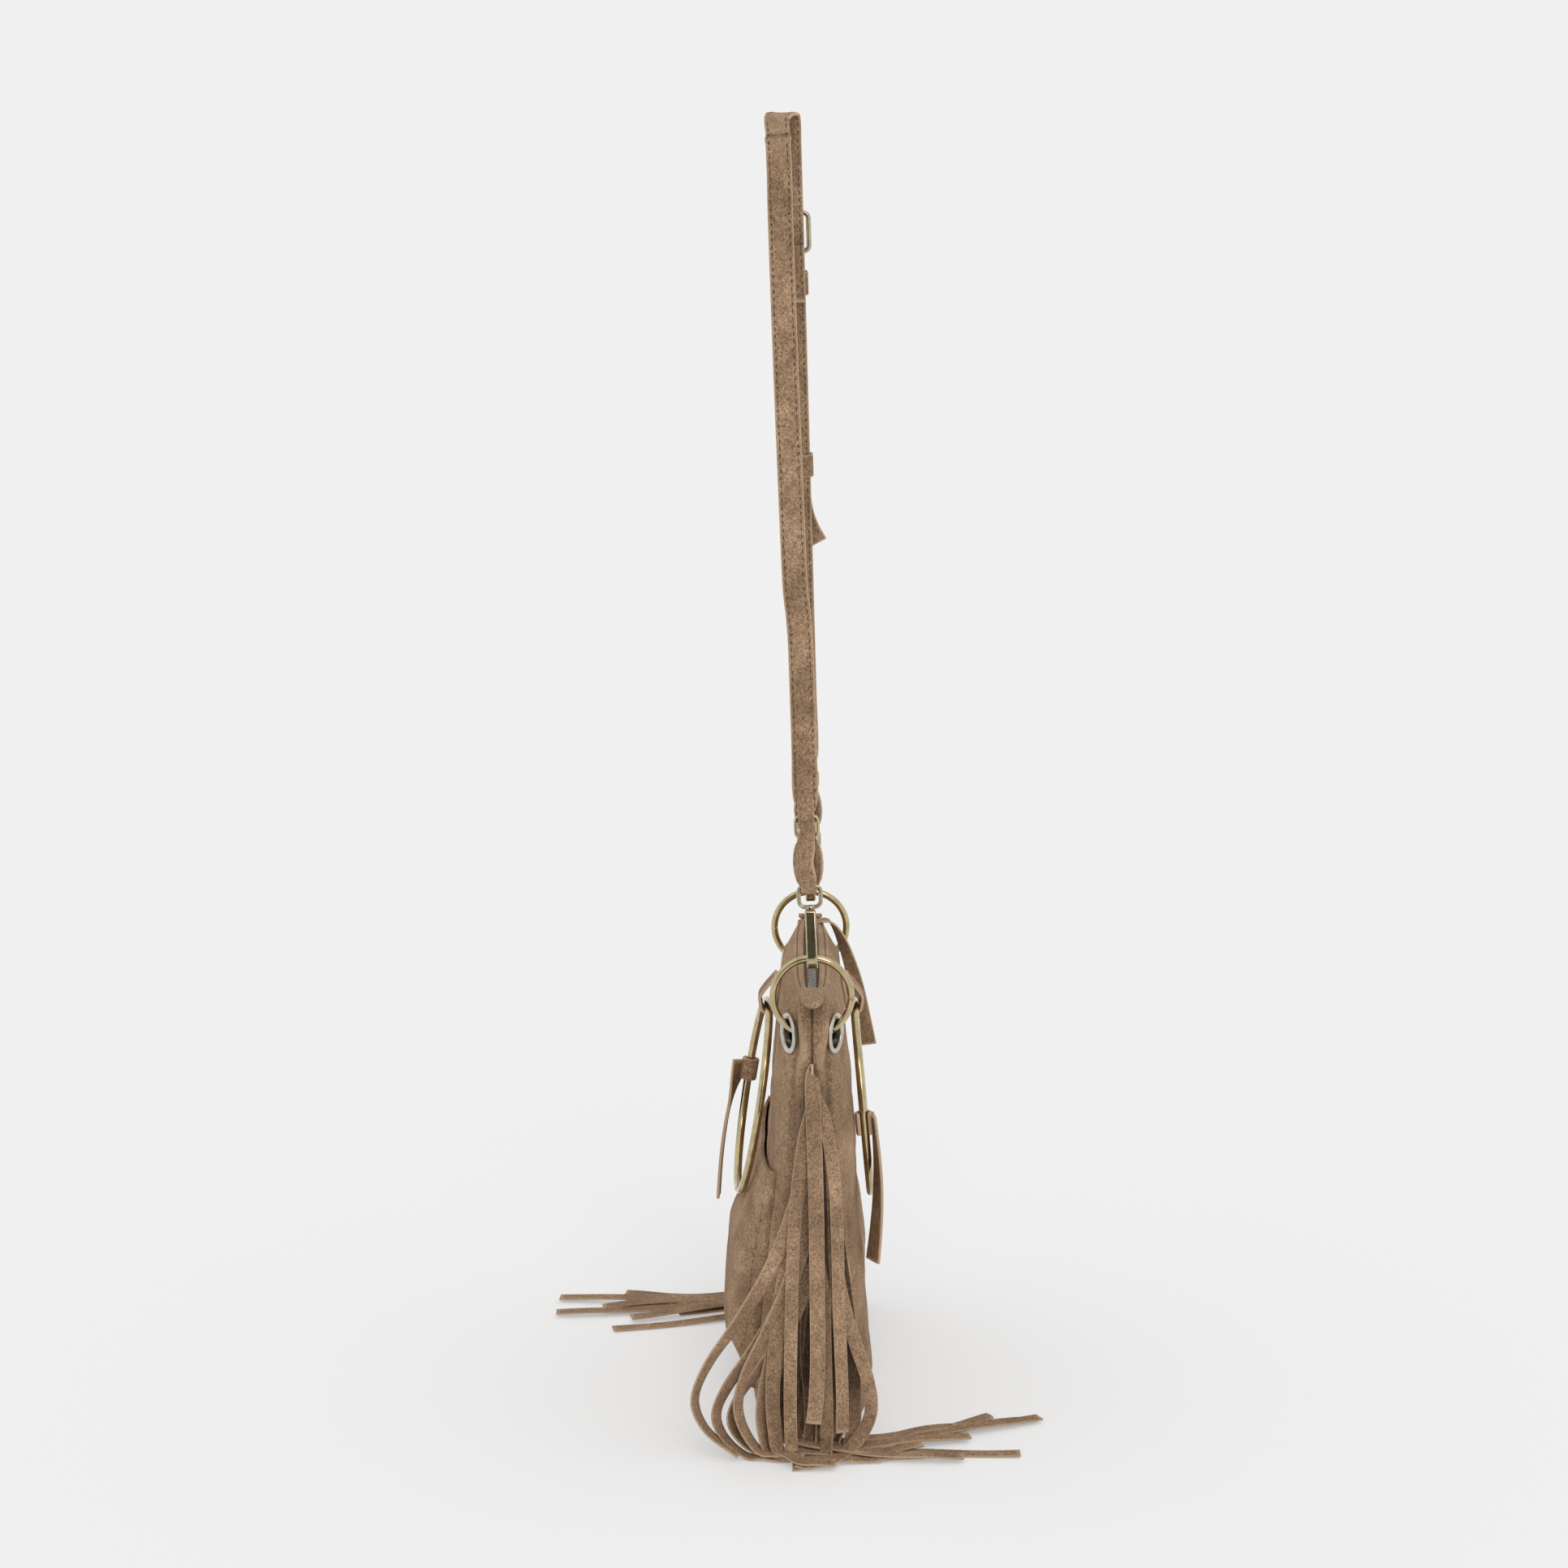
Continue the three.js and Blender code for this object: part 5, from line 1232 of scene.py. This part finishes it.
class BAG_OT_hooks(bpy.types.Operator):
    """Builds the swivel snap hooks, the oval rings and the buckle"""

    bl_idname = "bag.hooks"
    bl_label = "Hooks and buckle"

    def execute(self, context):
        mid = (SRING_BAR + SRING_TOP) / 2
        outline = oval(SRING_W - SRING_WIRE, SRING_H - SRING_WIRE, 3.2, mid)
        for place, end in ENDS:
            at = run_matrix(end)
            self.hook(place, at)
            self.eye(place, at)
            ring = placed(wire(outline, X, SRING_WIRE / 2, True), at)
            plain_piece(f"oval_ring_{place}", [ring], brass(), "bag", f"strap_ring_{place}")
        self.buckle()
        return {"FINISHED"}

    def hook(self, place, at):
        body = placed(plate(hook_outline(), HOOK_W, 0.9, upright()), at)
        plain_piece(
            f"snap_hook_{place}", [body], nickel(), f"hook_{place}", f"hook_body_{place}"
        )
        top = HOOK_H - 2 * HOOK_BAR - 0.7
        foot = HOOK_THROAT / 2 + GAP
        x = -HOOK_BOW - HOOK_BAR / 2
        outline = [
            (x - 1.5, foot + 0.8), (x - 0.8, foot), (x + 0.8, foot), (x + 1.5, foot + 0.8),
            (x + 1.5, top - 0.8), (x + 0.8, top), (x - 0.8, top), (x - 1.5, top - 0.8),
        ]
        gate = placed(plate(outline, HOOK_W - 2 * GAP, 0.5, upright()), at)
        gate_body = f"hook_gate_{place}"
        plain_piece(f"snap_gate_{place}", [gate], nickel(), gate_body, gate_body)

    def eye(self, place, at):
        outline = oval(EYE_W - EYE_WIRE, EYE_H - EYE_WIRE, 3.6, EYE_FOOT + EYE_H / 2)
        loop = placed(wire(outline, X, EYE_WIRE / 2, True, 16), at)
        low = EYE_FOOT - 6.0
        profile = [
            (0.01, low), (2.0, low), (2.5, low + 0.5), (2.5, EYE_FOOT - 0.1), (3.4, EYE_FOOT + 0.3),
            (3.4, EYE_FOOT + 1.6), (2.4, EYE_FOOT + 2.5), (0.01, EYE_FOOT + 2.5),
        ]
        stem = placed(lathe(profile, (0, 0, 0), Z, 28), at)
        label = f"hook_eye_ring_{place}"
        plain_piece(label, [loop, stem], nickel(), "bag", f"hook_eye_{place}")

    def buckle(self):
        foot, along, across, out, length = run(-1)
        bar = foot + along * (length - BUCKLE_DROP - BUCKLE_L) - out * BUCKLE_FOLD
        lean = math.asin((LONG_OFFSET + STRAP_T / 2 + GAP + BUCKLE_WIRE / 2 + BUCKLE_FOLD) / BUCKLE_L)
        up = np.array(Matrix.Rotation(lean, 3, Vector(across)) @ Vector(along))
        at = np.eye(4)
        at[:3, 0], at[:3, 1], at[:3, 2], at[:3, 3] = np.cross(across, up), across, up, bar
        wide = STRAP_W + 2 * GAP + BUCKLE_WIRE + 2
        outline = oval(wide, BUCKLE_L, 3.4, BUCKLE_L / 2)
        buckle = placed(wire(outline, X, BUCKLE_WIRE / 2, True, 16), at)
        plain_piece("buckle", [buckle], nickel(), "bag", "buckle_frame")
        hug = BUCKLE_WIRE / 2 + GAP + PRONG_WIRE / 2
        turns = np.linspace(0, 2 * math.pi, 28, endpoint=False)
        collar = wire([(hug * math.cos(t), 0, hug * math.sin(t)) for t in turns], Y, PRONG_WIRE / 2, True)
        tip = [(hug, 0, z) for z in np.linspace(0, BUCKLE_L + BUCKLE_WIRE / 2, 14)]
        pin = wire(tip, Y, PRONG_WIRE / 2, False, 14, np.linspace(1, 0.72, 14))
        parts = [placed(collar, at), placed(pin, at)]
        plain_piece("prong", parts, nickel(), "buckle_prong", "buckle_prong")


# Fringe

# Strips of the near fringe, from the top of the seam down: sway on the way down, where the foot
# lands across the end, and the heading on the floor at first and at last (0 towards +X, 90 towards +Y)
NEAR_STRIPS = (
    (3, 1, 0, 0), (1, 18, 20, 40), (2, 9, 0, 20), (-2, -12, -12, 20), (-36, -44, 88, 94),
    (4, 22, 30, 108), (-20, -30, 70, 96), (2, 8, -25, -55), (-4, -20, 30, 86), (16, 20, -30, -45),
    (-28, -38, 84, 88), (0, 5, 60, 112), (-6, -25, 60, 96), (8, 16, 100, 118), (-22, -33, 80, 99),
    (2, -3, 40, 108), (-6, -8, 70, 86), (10, 19, 110, 120), (-4, -15, 60, 104), (6, 12, 80, 114),
    (-4, -6, 50, 94), (0, 2, 70, 118),
)
FRONT_STRIPS = (0, 1, 3, 4, 6, 7, 8, 9, 10, 12, 14)

# Where the strips leave the seam: share of the count, and share of the way down
ROOT_SHARES = {
    "near": ((0, 0.14, 0.24, 0.6, 0.85, 1), (0, 0.08, 0.2, 0.46, 0.64, 0.8)),
    "far": ((0, 0.3, 0.6, 0.8, 1), (0, 0.2, 0.55, 0.75, 0.9)),
}


def hangs_in_front(k):
    return k % len(NEAR_STRIPS) in FRONT_STRIPS


def far_strip(k, rng):
    """The far fringe lies swept to one side, so its strips follow one rule."""
    last = 96 + 15 * rng.uniform(-1, 1)
    return 10 * math.sin(1.7 * k), 24 * math.sin(2.4 * k), 62 + 14 * math.sin(k), last


def strip_course(k, count, shape, shares):
    """A strip as it would lie at the near end: out of the seam, down, and along the floor.

    Each row is a point and the direction across the strip there.
    """
    sway, foot_y, first, last = shape
    t = float(np.interp(k / (count - 1), *shares))
    root_z = FRINGE_TOP + (FRINGE_FOOT - FRINGE_TOP) * t - look().strip_width / 2
    root_x = float(half_length(np.array(root_z))) + 4.0
    front = hangs_in_front(k)
    foot_x = 111 + 15 * (1 - t) + (11 if front else 1.5)
    level = 1.0 + 1.2 * ((k * 3) % 5)
    reach = min(root_z - level, FRINGE_L - 8)
    rows = [[root_x - 4.5, 0, root_z, 0, -0.15, 1], [root_x + 2.5, 0, root_z - 3, 0.2, -0.8, 0.5]]
    lead = (0.3 if front else 0.9) * math.sin(2.3 * k)
    for s in (0.1, 0.25, 0.42, 0.58, 0.72, 0.83, 0.92, 1.0):
        facing = lead + (math.radians(first) - lead) * s**2
        spread = s**1.25 if sway < SWAG else 0.75 * (1 - math.exp(-s / 0.16)) + 0.25 * s
        y = foot_y * spread + sway * math.sin(math.pi * s**3) + 5.0 * math.sin(5 * s + k) * s * (1 - s)
        x = root_x + 4 + (foot_x - root_x) * math.sin(s * math.pi / 2)
        rows.append([x, y, root_z - reach * s, math.sin(facing), -math.cos(facing), 0])
    left = FRINGE_L - 8 - math.hypot(reach, 0.9 * foot_y, 1.2 * sway)
    if left <= 5:
        return np.array(rows)
    point = np.array([rows[-1][0], foot_y])
    steps = max(int(left / 9), 2)
    for i in range(steps):
        share = (i + 1) / steps
        bend = min(share * left / 60, 1)
        turned = (last - first) * bend * bend * (3 - 2 * bend)
        heading = math.radians(first + turned) + 0.1 * math.sin(4 * share + k)
        point = point + left / steps * np.array([math.cos(heading), math.sin(heading)])
        lift = level * (1 - 0.5 * share) + 1.1 * math.sin(5 * share + 2 * k) ** 2
        x = min(point[0], FRINGE_REACH)
        rows.append([x, point[1], lift, math.sin(heading), -math.cos(heading), 0])
    return np.array(rows)


class BAG_OT_fringe(bpy.types.Operator):
    """Builds the two fringes, strip by strip, from the end seams down to the floor"""

    bl_idname = "bag.fringe"
    bl_label = "Fringe"

    def execute(self, context):
        count, width = look().strips, look().strip_width
        for place, end in ENDS:
            rng = np.random.default_rng(5 if end > 0 else 11)
            spin = np.diag([end, end, 1.0])
            parts = []
            for k in range(count):
                shape = NEAR_STRIPS[k % len(NEAR_STRIPS)] if end > 0 else far_strip(k, rng)
                course = strip_course(k, count, shape, ROOT_SHARES[place])
                wide = np.full((len(course), 1), width * (1 + 0.1 * math.sin(3.1 * k + 1)))
                rows = np.concatenate([course[:, :3] @ spin.T, course[:, 3:6] @ spin.T, wide], 1)
                verts, faces, edge = band(rows, 1.4, 3.0, cup=0.4 * math.sin(k))
                # Painted shade: strips behind the front ones darken above the floor, as in the others'
                # shade; front strips get a touch of painted light
                shade = FRONT_SHADE if hangs_in_front(k) else DEEP_SHADE
                dark = shade * np.clip((verts[:, 2] - 14) / 30, 0, 1)
                tone = np.where(edge > 0.1, edge * 0.6 - 0.6 * dark, -dark)
                parts.append((verts, faces, tone))
            welt_z = np.linspace(FRINGE_TOP, FRINGE_FOOT, 12)
            welt = [[end * (float(half_length(np.array(z))) + 3.1), 0, z, 1, 0, 0, 5] for z in welt_z]
            parts.append(band(np.array(welt), 1.5, 4))
            made = suede_piece(f"fringe_strips_{place}", parts, "bag", [f"fringe_{place}"])
        return {"FINISHED"}


# Stage

class BAG_OT_stage(bpy.types.Operator):
    """Sets the pale floor, the soft light and the camera"""

    bl_idname = "bag.stage"
    bl_label = "Stage"

    def execute(self, context):
        scene = context.scene
        scene.view_settings.view_transform = "Standard"
        pale = srgb(240, 240, 240)
        self.floor(scene, pale)
        self.light(scene, pale)
        self.dark_card(scene)
        view = bpy.data.cameras.new("camera")
        view.lens, view.sensor_width = 76.0, 36.0
        view.clip_end = 200
        camera = bpy.data.objects.new("camera", view)
        camera.location = (1.990, -0.01238, 0.7602)
        camera.rotation_euler = (math.radians(79.22), 0, math.radians(90.128))
        scene.collection.objects.link(camera)
        scene.camera = camera
        return {"FINISHED"}

    def card(self, scene, name, corners, colour):
        """A flat matt card of the stage, in metres, with its shader."""
        mesh = bpy.data.meshes.new(name)
        mesh.from_pydata(corners, [], [(0, 1, 2, 3)])
        made = bpy.data.objects.new(name, mesh)
        scene.collection.objects.link(made)
        paint = bpy.data.materials.new(f"{name}_paint")
        paint.use_nodes = True
        bsdf = paint.node_tree.nodes["Principled BSDF"]
        bsdf.inputs["Base Color"].default_value = colour
        bsdf.inputs["Roughness"].default_value = 1.0
        mesh.materials.append(paint)
        return made, paint.node_tree, bsdf

    def floor(self, scene, pale):
        far = 40.0
        corners = [(x, y, FLOOR_Z) for x, y in ((-far, -far), (far, -far), (far, far), (-far, far))]
        _, tree, bsdf = self.card(scene, "floor", corners, (0.9, 0.9, 0.9, 1))
        bsdf.inputs["Specular IOR Level"].default_value = 0.0
        glow = node(tree, "ShaderNodeEmission", Color=pale)
        self.seen_as(tree, bsdf.outputs["BSDF"], glow.outputs["Emission"], "Material Output", FLOOR_GLOW)

    def light(self, scene, pale):
        world = bpy.data.worlds.new("studio")
        scene.world = world
        world.use_nodes = True
        tree = world.node_tree
        back = tree.nodes["Background"]
        back.inputs["Color"].default_value = (1, 1, 1, 1)
        back.inputs["Strength"].default_value = 0.8
        seen = node(tree, "ShaderNodeBackground", Color=pale)
        self.seen_as(tree, back.outputs["Background"], seen.outputs["Background"], "World Output", 1.0)
        lamp = bpy.data.lights.new("softbox", "SUN")
        lamp.energy = 0.85
        lamp.angle = math.radians(38)
        sun = bpy.data.objects.new("softbox", lamp)
        sun.rotation_euler = Vector((-0.76, -0.1, -0.64)).to_track_quat("-Z", "Y").to_euler()
        scene.collection.objects.link(sun)

    def seen_as(self, tree, lit, shown, output, share):
        """Shows a share of a plain shade to the camera and to mirrors, and not to the bag."""
        path = tree.nodes.new("ShaderNodeLightPath")
        either = tree.nodes.new("ShaderNodeMath")
        either.operation = "MAXIMUM"
        part = tree.nodes.new("ShaderNodeMath")
        part.operation = "MULTIPLY"
        part.inputs[1].default_value = share
        mix = tree.nodes.new("ShaderNodeMixShader")
        tree.links.new(path.outputs["Is Camera Ray"], either.inputs[0])
        tree.links.new(path.outputs["Is Glossy Ray"], either.inputs[1])
        tree.links.new(either.outputs["Value"], part.inputs[0])
        tree.links.new(part.outputs["Value"], mix.inputs["Fac"])
        tree.links.new(lit, mix.inputs[1])
        tree.links.new(shown, mix.inputs[2])
        tree.links.new(mix.outputs["Shader"], tree.nodes[output].inputs["Surface"])

    def dark_card(self, scene):
        """A dark card behind the camera, which only the metal mirrors."""
        corners = [(3, -1.6, -0.2), (3, 0.5, -0.2), (3, 0.5, 3.4), (3, -1.6, 3.4)]
        card, _, _ = self.card(scene, "dark_card", corners, (0.14, 0.125, 0.11, 1))
        card.visible_camera = False
        card.visible_diffuse = False
        card.visible_shadow = False
        card.visible_transmission = False


class BAG_PT_build(bpy.types.Panel):
    """Lists the bag's pieces in the sidebar"""

    bl_idname = "BAG_PT_build"
    bl_label = "Fringed bag"
    bl_space_type = "VIEW_3D"
    bl_region_type = "UI"
    bl_category = "Bag"

    def draw(self, context):
        for operator in OPERATORS:
            self.layout.operator(operator.bl_idname)
        for key in BagLook.__annotations__:
            self.layout.prop(context.scene.bag_look, key)


OPERATORS = (
    BAG_OT_shell,
    BAG_OT_pocket,
    BAG_OT_zip,
    BAG_OT_rings,
    BAG_OT_hooks,
    BAG_OT_strap,
    BAG_OT_fringe,
    BAG_OT_stage,
)
CLASSES = (BagLook, *OPERATORS, BAG_PT_build)


def register():
    for cls in CLASSES:
        bpy.utils.register_class(cls)
    bpy.types.Scene.bag_look = PointerProperty(type=BagLook)


def unregister():
    del bpy.types.Scene.bag_look
    for cls in reversed(CLASSES):
        bpy.utils.unregister_class(cls)


def main():
    register()
    bpy.ops.bag.shell()
    bpy.ops.bag.pocket()
    bpy.ops.bag.zip()
    bpy.ops.bag.rings()
    bpy.ops.bag.hooks()
    bpy.ops.bag.strap()
    bpy.ops.bag.fringe()
    bpy.ops.bag.stage()


if __name__ == "__main__":
    main()
